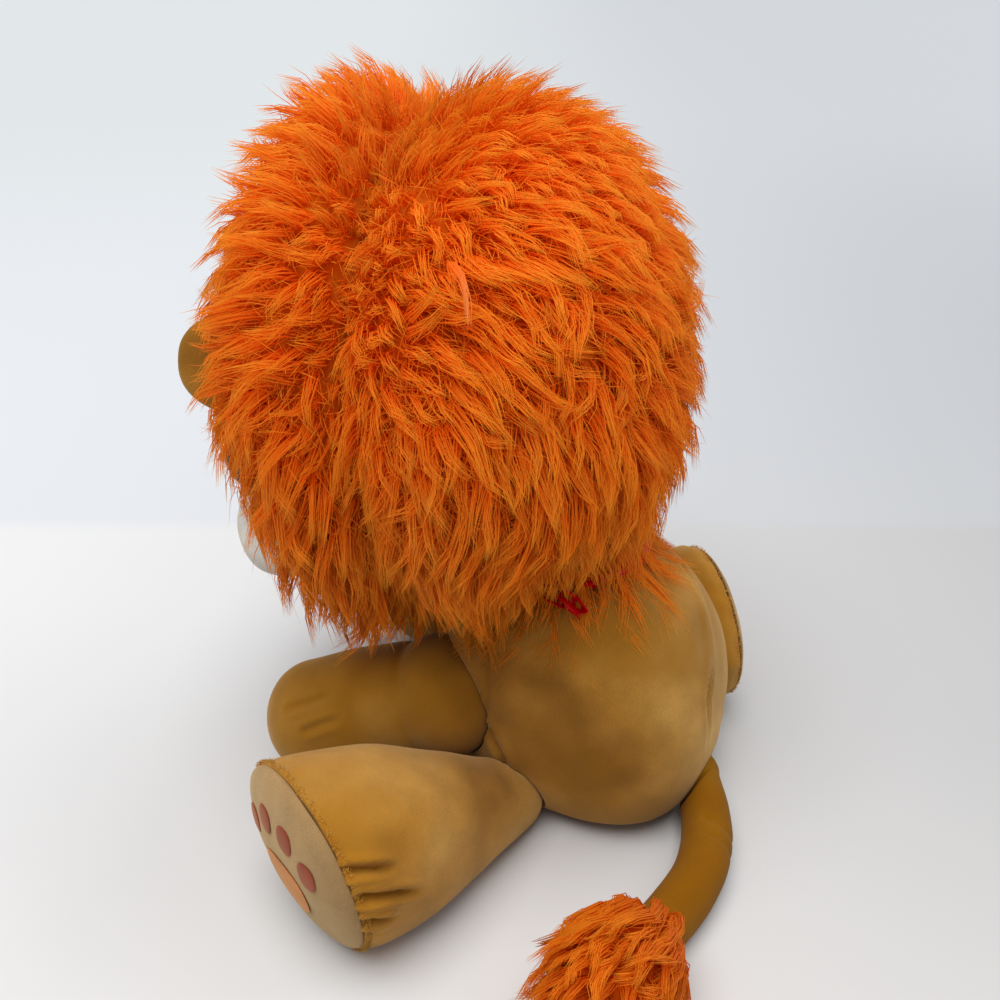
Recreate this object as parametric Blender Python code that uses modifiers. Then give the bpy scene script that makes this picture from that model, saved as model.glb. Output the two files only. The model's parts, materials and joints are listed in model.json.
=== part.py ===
"""A stuffed lion that sits low with its head hung forward over its front paws.

Sizes are metres, +Z is up and the lion looks along -Y, so its left side is +X. The origin lies
on the flat underside of the body, below the neck. Every piece is its own solid. The limbs, the
tail and the neck end in round roots that turn in round seats, as the sewn seams let them.
"""

import math

import bmesh
import bpy
from mathutils import Matrix, Vector

# Clearances shared by all pieces
SEAM_GAP = 0.0003
SEAT_CLEARANCE = 0.0006
ROOT_CLEARANCE = 0.00025
SWING_STEPS = 3
FLOOR_CUT = 0.0005
CUTTER_OVERRUN = 0.02

# Body
BODY_WIDTH = 0.098
BODY_DEPTH = 0.105
BODY_HEIGHT = 0.104
BODY_BELLY_HEIGHT = 0.036
BODY_MIDDLE_Y = 0.004
BODY_LEAN = 0.013
BODY_SQUARENESS_SHARE = 0.74
BODY_LOWER_ROUND_SHARE = 0.30
BODY_LOWER_RISE_SHARE = 0.70
BODY_UPPER_ROUND_SHARE = 0.77

# Bag of pellets and the closing slit below it
BAG_WIDTH = 0.044
BAG_DEPTH = 0.044
BAG_THICKNESS = 0.020
BAG_HEIGHT_ABOVE_FLOOR = 0.008
BAG_MIDDLE_X = 0.006
BAG_MIDDLE_Y = 0.008
BAG_CLEARANCE = 0.0004
SLIT_LENGTH = 0.034
SLIT_WIDTH = 0.0016
SLIT_Y = 0.016

# Neck
NECK_RADIUS = 0.027
NECK_Y = -0.010
NECK_RISE = 0.002

# Head, in a frame that is tilted down to the paws
HEAD_MIDDLE = (0.004, -0.067, 0.151)
HEAD_WIDTH = 0.114
HEAD_DEPTH = 0.150
HEAD_HEIGHT = 0.132
HEAD_TILT = math.radians(18)
HEAD_ROUNDNESS = 2.3
HEAD_REST_GAP = 0.009

# Muzzle and nose
MUZZLE_WIDTH = 0.068
MUZZLE_DEPTH = 0.046
MUZZLE_HEIGHT = 0.048
MUZZLE_DROP = 0.044
MUZZLE_STANDOFF = 0.0107
NOSE_WIDTH = 0.019
NOSE_DEPTH = 0.012
NOSE_HEIGHT = 0.012

# Eyes with their shanks and lock washers
EYE_WIDTH = 0.012
EYE_HEIGHT = 0.020
EYE_DEPTH = 0.010
EYE_SPREAD = 0.060
EYE_DROP = 0.008
EYE_TURN = math.radians(25)
SHANK_RADIUS = 0.0022
SHANK_LENGTH = 0.015
SHANK_CLEARANCE = 0.0003
WASHER_RADIUS = 0.0065
WASHER_THICKNESS = 0.0020
WASHER_DEPTH = 0.010

# Ears
EAR_WIDTH = 0.038
EAR_THICKNESS = 0.014
EAR_LENGTH = 0.052
EAR_STANDOFF = 0.004
EAR_LIFT = math.radians(29)
EAR_FORWARD = math.radians(38)
EAR_CUP_DEPTH = 0.005

# Mane, a ruff round the face and a cap on the back of the head
RUFF_WIDTH = 0.168
RUFF_DEPTH = 0.090
RUFF_HEIGHT = 0.198
RUFF_MIDDLE = (0.004, -0.076, 0.163)
CAP_WIDTH = 0.164
CAP_DEPTH = 0.120
CAP_HEIGHT = 0.182
CAP_MIDDLE = (0.004, -0.028, 0.170)
MANE_TILT = math.radians(6)

# Front legs
SHOULDER_RADIUS = 0.024
SHOULDER_SPREAD = 0.073
SHOULDER_Y = -0.042
SHOULDER_HEIGHT = 0.042
FRONT_LEG_LENGTH = 0.0520
FRONT_LEG_SPLAY = math.radians(13.5)
PAW_RADIUS = 0.0240

# Hind legs, the left one stretched out and the right one tucked against the body
HIND_RADIUS = 0.0340
HIND_PITCH_LEFT = math.radians(15.5)
HIND_PITCH_RIGHT = math.radians(6)
HIND_TURN_LEFT = math.radians(-27)
HIND_TURN_RIGHT = math.radians(129)
HIND_LENGTH_LEFT = 0.086
HIND_LENGTH_RIGHT = 0.0385
HIND_WIDEST_SHARE = 0.88
HIP_LEFT = (0.048, -0.010)
HIP_RIGHT = (-0.044, 0.004)
HIP_RADIUS_LEFT = 0.0120
HIP_RADIUS_RIGHT = 0.022
HIND_SWING_RIGHT = math.radians(15)
SOLE_CROWN_LEFT = 0.0105
SOLE_CROWN_RIGHT = 0.006
# How far the stretched leg's sole leans out at its top, for each length above its middle
SOLE_LEAN_SHARE = 0.42

# Tail
TAIL_ROOT = (0.006, 0.050, 0.0125)
TAIL_ROOT_RADIUS = 0.0100
TAIL_RADIUS = 0.0098
TAIL_SWING = math.radians(20)
TUFT_LENGTH = 0.062
TUFT_RADIUS = 0.0235
TUFT_TURN = math.radians(8)

# Ribbon
RIBBON_WIDTH = 0.0045
RIBBON_THICKNESS = 0.0010
RIBBON_RADIUS = 0.0290
RIBBON_HEIGHT = 0.0980
BOW_STANDOFF = 0.0037
BOW_HEIGHT = 0.0785
BOW_KNOT = 0.0080
BOW_THICKNESS = 0.0055
BOW_LOOP_LENGTH = 0.0150
BOW_LOOP_HEIGHT = 0.0100
BOW_DROOP = math.radians(12)

# Fineness of the round forms
ROUND_STEPS = 28
SMALL_STEPS = 16

# Places along a limb, as shares of its length, and its radius there, as shares of the widest
FRONT_LEG_SHARES = ((0.25, 0.985), (0.45, 1.0), (0.65, 1.03), (0.85, 1.02))
HIND_LEFT_SHARES = ((0.12, 0.46), (0.34, 0.70), (0.60, 0.92), (0.88, 1.0), (1.0, 0.965))
HIND_RIGHT_SHARES = ((0.30, 0.76), (0.60, 0.93), (0.86, 1.0), (1.0, 0.93))
TUFT_SHARES = (
    (0.0, 0.36),
    (0.10, 0.50),
    (0.26, 0.80),
    (0.46, 1.0),
    (0.68, 0.94),
    (0.85, 0.68),
    (0.95, 0.36),
)
# The tail's route from its root, as shares of the body's depth
TAIL_ROUTE_SHARES = (
    (0.0, 0.0),
    (0.146, 0.088),
    (0.32, 0.142),
    (0.51, 0.143),
    (0.73, 0.095),
)

# Colours
GOLD = (0.39, 0.22, 0.055)
ORANGE = (0.75, 0.15, 0.012)
CREAM = (0.72, 0.66, 0.56)
TAUPE = (0.44, 0.30, 0.17)
BLACK = (0.01, 0.01, 0.01)
BROWN = (0.09, 0.03, 0.015)
RED = (0.62, 0.01, 0.015)
WHITE = (0.8, 0.8, 0.8)


def clear_scene():
    for thing in list(bpy.data.objects):
        bpy.data.objects.remove(thing, do_unlink=True)


def make_collection(name):
    collection = bpy.data.collections.new(name)
    bpy.context.scene.collection.children.link(collection)
    return collection


def make_material(name, colour, roughness):
    material = bpy.data.materials.new(name)
    material.use_nodes = True
    shader = material.node_tree.nodes["Principled BSDF"]
    shader.inputs["Base Color"].default_value = (*colour, 1.0)
    shader.inputs["Roughness"].default_value = roughness
    shader.inputs["Metallic"].default_value = 0.0
    return material


def signed_power(value, power):
    return math.copysign(abs(value) ** power, value)


def smoothed(points, steps):
    """Points of a smooth curve through the given ones, with steps between each two."""
    ends = [Vector(p) for p in points]
    ends = [ends[0] * 2 - ends[1], *ends, ends[-1] * 2 - ends[-2]]
    curve = []
    for before, a, b, after in zip(ends, ends[1:], ends[2:], ends[3:]):
        for step in range(steps):
            t = step / steps
            start, finish = (b - before) / 2, (after - a) / 2
            curve.append(
                a * (2 * t**3 - 3 * t**2 + 1)
                + start * (t**3 - 2 * t**2 + t)
                + b * (3 * t**2 - 2 * t**3)
                + finish * (t**3 - t**2)
            )
    return [*curve, ends[-2]]


class Workshop:
    """Makes objects, places them and keeps pieces and cutters in their collections."""

    def __init__(self):
        self.pieces = make_collection("plush_lion")
        self.cutters = make_collection("cutters")

    def add(self, name, mesh, matrix, material=None):
        """A piece where a material is given, and otherwise a cutter."""
        thing = bpy.data.objects.new(name, mesh)
        if material is None:
            self.cutters.objects.link(thing)
            thing.hide_render = True
            thing.display_type = "WIRE"
        else:
            self.pieces.objects.link(thing)
            mesh.materials.append(material)
        mesh.shade_smooth()
        thing.matrix_world = matrix
        return thing

    def ball(self, name, sizes, matrix, material=None, roundness=2.0, grow=0.0, steps=ROUND_STEPS):
        """A swollen ball of the given full sizes. Roundness above 2 makes it boxier."""
        form = bmesh.new()
        bmesh.ops.create_uvsphere(
            form, u_segments=steps, v_segments=steps // 2, radius=1.0
        )
        power = 2 / roundness
        half = [size / 2 + grow for size in sizes]
        for vertex in form.verts:
            x, y, z = vertex.co
            level = math.hypot(x, y)
            width = signed_power(level, power)
            turn = math.atan2(y, x)
            vertex.co = (
                half[0] * width * signed_power(math.cos(turn), power),
                half[1] * width * signed_power(math.sin(turn), power),
                half[2] * signed_power(z, power),
            )
        return self.add(name, mesh_from(form, name), matrix, material)

    def rod(self, name, radius, length, matrix, material=None):
        """A cylinder along the frame's Z, from its origin upwards."""
        form = bmesh.new()
        bmesh.ops.create_cone(
            form,
            cap_ends=True,
            segments=SMALL_STEPS,
            radius1=radius,
            radius2=radius,
            depth=length,
            matrix=Matrix.Translation((0, 0, length / 2)),
        )
        return self.add(name, mesh_from(form, name), matrix, material)

    def box(self, name, sizes, matrix, material=None):
        form = bmesh.new()
        bmesh.ops.create_cube(form, size=1.0, matrix=Matrix.Diagonal((*sizes, 1.0)))
        return self.add(name, mesh_from(form, name), matrix, material)

    def turned(self, name, profile, matrix, material=None, steps=ROUND_STEPS):
        """A profile of (radius, height) points, from the top down, turned about Z."""
        form = bmesh.new()
        points = [form.verts.new((radius, 0, height)) for radius, height in profile]
        for a, b in zip(points, points[1:]):
            form.edges.new((a, b))
        thing = self.add(name, mesh_from(form, name), matrix, material)
        screw = thing.modifiers.new("turn", "SCREW")
        screw.steps = steps
        screw.render_steps = steps
        screw.use_merge_vertices = True
        screw.merge_threshold = 0.00005
        screw.use_normal_calculate = True
        return thing


def mesh_from(form, name):
    mesh = bpy.data.meshes.new(name)
    form.to_mesh(mesh)
    form.free()
    return mesh


def combine(thing, other, operation):
    modifier = thing.modifiers.new(operation.lower() + "_" + other.name, "BOOLEAN")
    modifier.operation = operation
    modifier.object = other
    modifier.solver = "EXACT"


def cut(thing, *cutters):
    for cutter in cutters:
        combine(thing, cutter, "DIFFERENCE")


def made_mesh(thing):
    """The object's mesh with its modifiers in it, so that other pieces can use the result."""
    graph = bpy.context.evaluated_depsgraph_get()
    graph.update()
    mesh = bpy.data.meshes.new_from_object(thing.evaluated_get(graph))
    thing.modifiers.clear()
    thing.data = mesh


def along(place, direction):
    """A frame at a place whose Z runs along the direction."""
    turn = Vector(direction).to_track_quat("Z", "Y").to_matrix().to_4x4()
    return Matrix.Translation(place) @ turn


def tilted(place, tilt):
    return Matrix.Translation(place) @ Matrix.Rotation(tilt, 4, "X")


def heading(turn, pitch):
    """A direction turned about Z from +X and raised by the pitch."""
    level = math.cos(pitch)
    return Vector((level * math.cos(turn), level * math.sin(turn), math.sin(pitch)))


def root_arc(radius, first_angle, steps=7):
    """The round root's profile, from its side at first_angle down to its back pole."""
    angles = [first_angle + (math.pi - first_angle) * i / steps for i in range(steps + 1)]
    arc = [(radius * math.sin(a), radius * math.cos(a)) for a in angles]
    return [*arc[:-1], (0.0, -radius)]


def limb_profile(root_radius, length, widest, shares, tip_radius=None):
    """The outline of a limb from its tip to the back of its round root."""
    side = [(radius * widest, place * length) for place, radius in shares]
    side = [(root_radius * math.sin(1.2), root_radius * math.cos(1.2)), *side]
    if tip_radius is None:
        tip = []
        side = smoothed([(r, z, 0) for r, z in side], 3)
        top = [(0.0, side[-1][1])]
    else:
        tip = [(tip_radius, length)]
        side = smoothed([(r, z, 0) for r, z in [*side, *tip]], 3)
        angles = [math.pi / 2 * i / 6 for i in range(1, 6)]
        top = [(tip_radius * math.cos(a), length + tip_radius * math.sin(a)) for a in angles]
        top = [(0.0, length + tip_radius), *reversed(top)]
    outline = [(point[0], point[1]) for point in reversed(side)]
    return [*top, *outline[:-1], *root_arc(root_radius, 1.2)]


def body_form(shop, name, material=None, grow=0.0):
    """A pillow that is flat and square below the belly and domed above, leaning forward."""
    form = bmesh.new()
    bmesh.ops.create_uvsphere(form, u_segments=ROUND_STEPS, v_segments=18, radius=1.0)
    lower = BODY_BELLY_HEIGHT + FLOOR_CUT + grow
    upper = BODY_HEIGHT - BODY_BELLY_HEIGHT + grow
    for vertex in form.verts:
        x, y, z = vertex.co
        level = math.hypot(x, y)
        turn = math.atan2(y, x)
        if z < 0:
            width = signed_power(level, BODY_LOWER_ROUND_SHARE)
            rise = lower * signed_power(z, BODY_LOWER_RISE_SHARE)
            lean = 0.0
        else:
            width = signed_power(level, BODY_UPPER_ROUND_SHARE)
            rise = upper * signed_power(z, BODY_UPPER_ROUND_SHARE)
            lean = BODY_LEAN * (rise / upper) ** 1.5
        across = signed_power(math.cos(turn), BODY_SQUARENESS_SHARE)
        ahead = signed_power(math.sin(turn), BODY_SQUARENESS_SHARE)
        vertex.co = (
            (BODY_WIDTH / 2 + grow) * width * across,
            BODY_MIDDLE_Y - lean + (BODY_DEPTH / 2 + grow) * width * ahead,
            BODY_BELLY_HEIGHT + rise,
        )
    return shop.add(name, mesh_from(form, name), Matrix.Identity(4), material)


def body_front(height):
    """Where the body's front surface lies at this height above its belly."""
    rise = (height - BODY_BELLY_HEIGHT) / (BODY_HEIGHT - BODY_BELLY_HEIGHT)
    level = math.sqrt(1 - rise ** (2 / BODY_UPPER_ROUND_SHARE))
    reach = BODY_DEPTH / 2 * level**BODY_UPPER_ROUND_SHARE
    return BODY_MIDDLE_Y - BODY_LEAN * rise**1.5 - reach


def neck_place():
    return Vector((0.0, NECK_Y, BODY_HEIGHT + NECK_RISE))


def head_frame():
    return tilted(HEAD_MIDDLE, HEAD_TILT)


def shoulder_place(side):
    return Vector((side * SHOULDER_SPREAD / 2, SHOULDER_Y, SHOULDER_HEIGHT))


def front_leg_heading(side):
    drop = (SHOULDER_HEIGHT - (PAW_RADIUS - FLOOR_CUT)) / FRONT_LEG_LENGTH
    return heading(math.radians(-90) + side * FRONT_LEG_SPLAY, -math.asin(drop))


def hip_place(side):
    """The hip lies at the height at which the widest ring of the leg meets the floor."""
    x, y = HIP_LEFT if side > 0 else HIP_RIGHT
    pitch = HIND_PITCH_LEFT if side > 0 else HIND_PITCH_RIGHT
    length = HIND_LENGTH_LEFT if side > 0 else HIND_LENGTH_RIGHT
    rise = HIND_WIDEST_SHARE * length * math.sin(pitch)
    return Vector((x, y, HIND_RADIUS * math.cos(pitch) - rise - FLOOR_CUT))


def hind_heading(side):
    if side > 0:
        return heading(HIND_TURN_LEFT, HIND_PITCH_LEFT)
    return heading(HIND_TURN_RIGHT, HIND_PITCH_RIGHT)


def make_seats(shop, ending, clearance):
    """The round hollows in which the roots turn, or with less clearance the roots' own room."""
    roots = {
        "neck": (neck_place(), NECK_RADIUS),
        "tail": (Vector(TAIL_ROOT), TAIL_ROOT_RADIUS),
        "hip_left": (hip_place(1), HIP_RADIUS_LEFT),
        "hip_right": (hip_place(-1), HIP_RADIUS_RIGHT),
        "shoulder_left": (shoulder_place(1), SHOULDER_RADIUS),
        "shoulder_right": (shoulder_place(-1), SHOULDER_RADIUS),
    }
    seats = {}
    for name, (place, radius) in roots.items():
        size = (2 * (radius + clearance),) * 3
        seats[name] = shop.ball(name + ending, size, Matrix.Translation(place))
    return seats


def make_floor(shop):
    """A slab below the floor plane, which trims every piece that rests there."""
    reach = 8 * BODY_DEPTH
    thick = CUTTER_OVERRUN
    place = Matrix.Translation((0, 0, -thick / 2))
    return shop.box("floor_cutter", (reach, reach, thick), place)


def make_body(shop, plush, pellet_cloth, seats, floor):
    body = body_form(shop, "body", plush)
    cut(body, floor, *seats.values())
    middle = Vector((BAG_MIDDLE_X, BAG_MIDDLE_Y, BAG_HEIGHT_ABOVE_FLOOR + BAG_THICKNESS / 2))
    sizes = (BAG_WIDTH, BAG_DEPTH, BAG_THICKNESS)
    place = Matrix.Translation(middle)
    shop.ball("pellet_bag", sizes, place, pellet_cloth, roundness=2.6, steps=SMALL_STEPS)
    pocket = shop.ball(
        "bag_pocket", sizes, place, roundness=2.6, grow=BAG_CLEARANCE, steps=SMALL_STEPS
    )
    slit_height = 2 * (middle.z - BAG_THICKNESS / 4)
    slit = shop.box(
        "closing_slit",
        (SLIT_LENGTH, SLIT_WIDTH, slit_height),
        Matrix.Translation((BAG_MIDDLE_X, SLIT_Y, 0)),
    )
    combine(pocket, slit, "UNION")
    made_mesh(pocket)
    cut(body, pocket)
    return body


def make_keepout(shop, roots):
    """The body's space, which the limbs leave free except at their round roots."""
    keepout = body_form(shop, "body_keepout", grow=SEAM_GAP)
    cut(keepout, *roots.values())
    made_mesh(keepout)
    return keepout


def swing_room(shop, name, place, swing, own_room):
    """All the space that the body takes, as seen from a limb that swings about its root."""
    start = body_form(shop, name + "_start", grow=SEAM_GAP)
    form = bmesh.new()
    for step in range(SWING_STEPS + 1):
        turn = Matrix.Rotation(-swing * step / SWING_STEPS, 4, "Z")
        there = Matrix.Translation(place) @ turn @ Matrix.Translation(-place)
        for vertex in start.data.vertices:
            form.verts.new(there @ vertex.co)
    bpy.data.objects.remove(start, do_unlink=True)
    hull = bmesh.ops.convex_hull(form, input=form.verts)
    inside = {v for v in hull["geom_interior"] if isinstance(v, bmesh.types.BMVert)}
    bmesh.ops.delete(form, geom=list(inside), context="VERTS")
    room = shop.add(name, mesh_from(form, name), Matrix.Identity(4))
    cut(room, own_room)
    made_mesh(room)
    return room


def make_front_legs(shop, plush, keepout, floor):
    profile = limb_profile(
        SHOULDER_RADIUS, FRONT_LEG_LENGTH, SHOULDER_RADIUS, FRONT_LEG_SHARES, PAW_RADIUS
    )
    for side, word in ((1, "left"), (-1, "right")):
        frame = along(shoulder_place(side), front_leg_heading(side))
        leg = shop.turned("front_leg_" + word, profile, frame, plush)
        cut(leg, keepout, floor)


def lean_end(thing, length=None):
    """Leans a limb's end outwards at its top. A sole leans as a whole."""
    made_mesh(thing)
    for vertex in thing.data.vertices:
        share = 1.0 if length is None else min(max(vertex.co.z / length, 0.0), 1.0) ** 2
        vertex.co.z += share * SOLE_LEAN_SHARE * vertex.co.y


def make_hind_legs(shop, plush, sole_cloth, keepout, roots, floor):
    for side, word in ((1, "left"), (-1, "right")):
        left = side > 0
        length = HIND_LENGTH_LEFT if left else HIND_LENGTH_RIGHT
        root = HIP_RADIUS_LEFT if left else HIP_RADIUS_RIGHT
        shares = HIND_LEFT_SHARES if left else HIND_RIGHT_SHARES
        direction = hind_heading(side)
        frame = along(hip_place(side), direction)
        profile = limb_profile(root, length, HIND_RADIUS, shares)
        leg = shop.turned("hind_leg_" + word, profile, frame, plush)
        if left:
            lean_end(leg, length)
        room = keepout
        if not left:
            hip = hip_place(side)
            room = swing_room(shop, "hip_swing", hip, HIND_SWING_RIGHT, roots["hip_right"])
        cut(leg, room, floor)
        rim = shares[-1][1] * HIND_RADIUS
        rise = SOLE_CROWN_LEFT if left else SOLE_CROWN_RIGHT
        crown = [(rim * math.cos(a), rise * math.sin(a)) for a in quarter_turn(6)]
        crown = [(0.0, rise), *reversed(crown), (0.0, 0.0)]
        end = hip_place(side) + direction * (length + SEAM_GAP)
        sole = shop.turned("sole_" + word, crown, along(end, direction), sole_cloth)
        if left:
            lean_end(sole)
        cut(sole, keepout, floor)


def quarter_turn(steps):
    return [math.pi / 2 * i / steps for i in range(steps)]


def make_tail(shop, plush, fur, roots, floor):
    root = Vector(TAIL_ROOT)
    lying = TAIL_RADIUS - FLOOR_CUT
    route = []
    for x, y in TAIL_ROUTE_SHARES:
        route.append((root.x + x * BODY_DEPTH, root.y + y * BODY_DEPTH, lying))
    route[0] = tuple(root)
    points = smoothed(route, 4)
    curve = bpy.data.curves.new("tail_route", "CURVE")
    curve.dimensions = "3D"
    curve.bevel_depth = TAIL_RADIUS
    curve.bevel_resolution = 4
    curve.use_fill_caps = True
    spline = curve.splines.new("POLY")
    spline.points.add(len(points) - 1)
    for point, place in zip(spline.points, points):
        point.co = (*place, 1.0)
    line = bpy.data.objects.new("tail_line", curve)
    shop.cutters.objects.link(line)
    graph = bpy.context.evaluated_depsgraph_get()
    graph.update()
    mesh = bpy.data.meshes.new_from_object(line.evaluated_get(graph))
    form = bmesh.new()
    form.from_mesh(mesh)
    bmesh.ops.remove_doubles(form, verts=form.verts, dist=0.00001)
    bmesh.ops.recalc_face_normals(form, faces=form.faces)
    form.to_mesh(mesh)
    form.free()
    bpy.data.objects.remove(line, do_unlink=True)
    mesh.transform(Matrix.Translation(-root))
    tail = shop.add("tail", mesh, Matrix.Translation(root), plush)
    size = (2 * TAIL_ROOT_RADIUS,) * 3
    knob = shop.ball("tail_root", size, Matrix.Translation(root))
    combine(tail, knob, "UNION")
    cut(tail, swing_room(shop, "tail_swing", root, TAIL_SWING, roots["tail"]), floor)
    end, before = Vector(points[-1]), Vector(points[-2])
    run = (end - before).normalized()
    turn = math.atan2(run.y, run.x) + TUFT_TURN
    lift = math.asin((TUFT_RADIUS - FLOOR_CUT - lying) / (0.44 * TUFT_LENGTH))
    direction = heading(turn, lift * 0.5)
    side = smoothed([(r * TUFT_RADIUS, p * TUFT_LENGTH, 0) for p, r in TUFT_SHARES], 3)
    profile = [(0.0, TUFT_LENGTH), *[(p[0], p[1]) for p in reversed(side)], (0.0, 0.0)]
    base = end + run * SEAM_GAP
    base.z = TUFT_RADIUS - FLOOR_CUT - 0.44 * TUFT_LENGTH * math.sin(lift * 0.5)
    tuft = shop.turned("tail_tuft", profile, along(base, direction), fur)
    cut(tuft, floor)
    pocket = shop.add("tail_sleeve", mesh.copy(), Matrix.Translation(root))
    grown = pocket.modifiers.new("grow", "DISPLACE")
    grown.strength = SEAM_GAP
    grown.mid_level = 0.0
    cut(tuft, pocket)


def on_head(x, y, z):
    return head_frame() @ Vector((x, y, z))


def head_surface(x, z):
    """How far ahead of the head's middle its front lies, at this place across and up."""
    wide = abs(2 * x / HEAD_WIDTH) ** HEAD_ROUNDNESS
    high = abs(2 * z / HEAD_HEIGHT) ** HEAD_ROUNDNESS
    return HEAD_DEPTH / 2 * (1 - wide - high) ** (1 / HEAD_ROUNDNESS)


def head_form(shop, name, material=None, grow=0.0):
    sizes = (HEAD_WIDTH, HEAD_DEPTH, HEAD_HEIGHT)
    return shop.ball(name, sizes, head_frame(), material, HEAD_ROUNDNESS, grow)


def make_eyes(shop, head, glossy, clear_plastic, head_keepout):
    for side, word in ((1, "left"), (-1, "right")):
        x, z = side * EYE_SPREAD / 2, -EYE_DROP
        place = Vector((x, -head_surface(x, z), z))
        turn = Matrix.Rotation(side * EYE_TURN, 4, "Z") @ Matrix.Rotation(math.radians(90), 4, "X")
        frame = head_frame() @ Matrix.Translation(place) @ turn
        eye = shop.ball(
            "eye_" + word, (EYE_WIDTH, EYE_HEIGHT, EYE_DEPTH), frame, glossy, steps=SMALL_STEPS
        )
        cut(eye, head_keepout)
        inward = frame @ Matrix.Rotation(math.pi, 4, "X")
        shank = shop.rod(
            "eye_shank_" + word,
            SHANK_RADIUS,
            SHANK_LENGTH,
            inward @ Matrix.Translation((0, 0, -EYE_DEPTH / 4)),
        )
        combine(eye, shank, "UNION")
        bore = shop.rod(
            "eye_bore_" + word,
            SHANK_RADIUS + SHANK_CLEARANCE,
            SHANK_LENGTH + CUTTER_OVERRUN / 2,
            inward @ Matrix.Translation((0, 0, SEAT_CLEARANCE - CUTTER_OVERRUN / 2)),
        )
        room = shop.rod(
            "washer_room_" + word,
            WASHER_RADIUS + SHANK_CLEARANCE,
            WASHER_THICKNESS + 2 * SHANK_CLEARANCE,
            inward @ Matrix.Translation((0, 0, WASHER_DEPTH - SHANK_CLEARANCE)),
        )
        cut(head, bore, room)
        washer = shop.rod(
            "eye_washer_" + word,
            WASHER_RADIUS,
            WASHER_THICKNESS,
            inward @ Matrix.Translation((0, 0, WASHER_DEPTH)),
            clear_plastic,
        )
        cut(washer, bore)


def make_muzzle(shop, cream, dark, head_keepout):
    forward = head_surface(0, -MUZZLE_DROP) + MUZZLE_STANDOFF
    place = Matrix.Translation((0, -forward, -MUZZLE_DROP))
    sizes = (MUZZLE_WIDTH, MUZZLE_DEPTH, MUZZLE_HEIGHT)
    frame = head_frame() @ place
    muzzle = shop.ball("muzzle", sizes, frame, cream, roundness=2.2)
    cut(muzzle, head_keepout)
    keepout = shop.ball("muzzle_keepout", sizes, frame, roundness=2.2, grow=SEAM_GAP)
    top = Matrix.Translation((0, -MUZZLE_DEPTH * 0.36, MUZZLE_HEIGHT * 0.36))
    nose = shop.ball(
        "nose", (NOSE_WIDTH, NOSE_DEPTH, NOSE_HEIGHT), frame @ top, dark, steps=SMALL_STEPS
    )
    cut(nose, keepout, head_keepout)
    return keepout


def ear_frame(side):
    """The ear's Z runs out through the mane, and its Y is its flat back."""
    level = math.cos(EAR_LIFT)
    out = Vector(
        (
            side * level * math.cos(EAR_FORWARD),
            -level * math.sin(EAR_FORWARD),
            math.sin(EAR_LIFT),
        )
    )
    across = out.cross(Vector((0, 1, 0))).normalized()
    back = out.cross(across).normalized()
    if back.y < 0:
        back.negate()
    across = back.cross(out)
    turn = Matrix((across, back, out)).transposed().to_4x4()
    return head_frame() @ Matrix.Translation(out * (HEAD_WIDTH / 2 + EAR_STANDOFF)) @ turn


def make_ears(shop, plush, head_keepout):
    rooms = []
    for side, word in ((1, "left"), (-1, "right")):
        frame = ear_frame(side)
        sizes = (EAR_WIDTH, EAR_THICKNESS, EAR_LENGTH)
        ear = shop.ball("ear_" + word, sizes, frame, plush, roundness=2.3, steps=24)
        hollow = shop.ball(
            "ear_hollow_" + word,
            (EAR_WIDTH * 0.66, EAR_THICKNESS, EAR_LENGTH * 0.6),
            frame @ Matrix.Translation((0, -EAR_THICKNESS + EAR_CUP_DEPTH, EAR_LENGTH * 0.14)),
            steps=SMALL_STEPS,
        )
        cut(ear, head_keepout, hollow)
        rooms.append(
            shop.ball("ear_room_" + word, sizes, frame, roundness=2.3, grow=SEAM_GAP, steps=24)
        )
    return rooms


def make_mane(shop, fur, head_keepout, rooms, neck_seat, rest_room):
    ruff_sizes = (RUFF_WIDTH, RUFF_DEPTH, RUFF_HEIGHT)
    ruff_frame = tilted(RUFF_MIDDLE, MANE_TILT)
    ruff = shop.ball("mane_ruff", ruff_sizes, ruff_frame, fur)
    cut(ruff, head_keepout, *rooms, neck_seat, rest_room)
    ruff_room = shop.ball("ruff_room", ruff_sizes, ruff_frame, grow=SEAM_GAP)
    cap = shop.ball(
        "mane_cap", (CAP_WIDTH, CAP_DEPTH, CAP_HEIGHT), tilted(CAP_MIDDLE, MANE_TILT), fur
    )
    cut(cap, head_keepout, ruff_room, *rooms, neck_seat, rest_room)


def make_head(shop, materials, seats):
    head = head_form(shop, "head", materials["plush"])
    head_keepout = head_form(shop, "head_keepout", grow=SEAM_GAP)
    rest_room = body_form(shop, "rest_room", grow=HEAD_REST_GAP)
    cut(head, seats["neck"], rest_room)
    make_eyes(shop, head, materials["eye"], materials["washer"], head_keepout)
    muzzle_room = make_muzzle(shop, materials["cream"], materials["nose"], head_keepout)
    rooms = [*make_ears(shop, materials["plush"], head_keepout), muzzle_room]
    make_mane(shop, materials["fur"], head_keepout, rooms, seats["neck"], rest_room)


def make_neck(shop, plush):
    size = (2 * NECK_RADIUS,) * 3
    shop.ball("neck", size, Matrix.Translation(neck_place()), plush)


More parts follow.
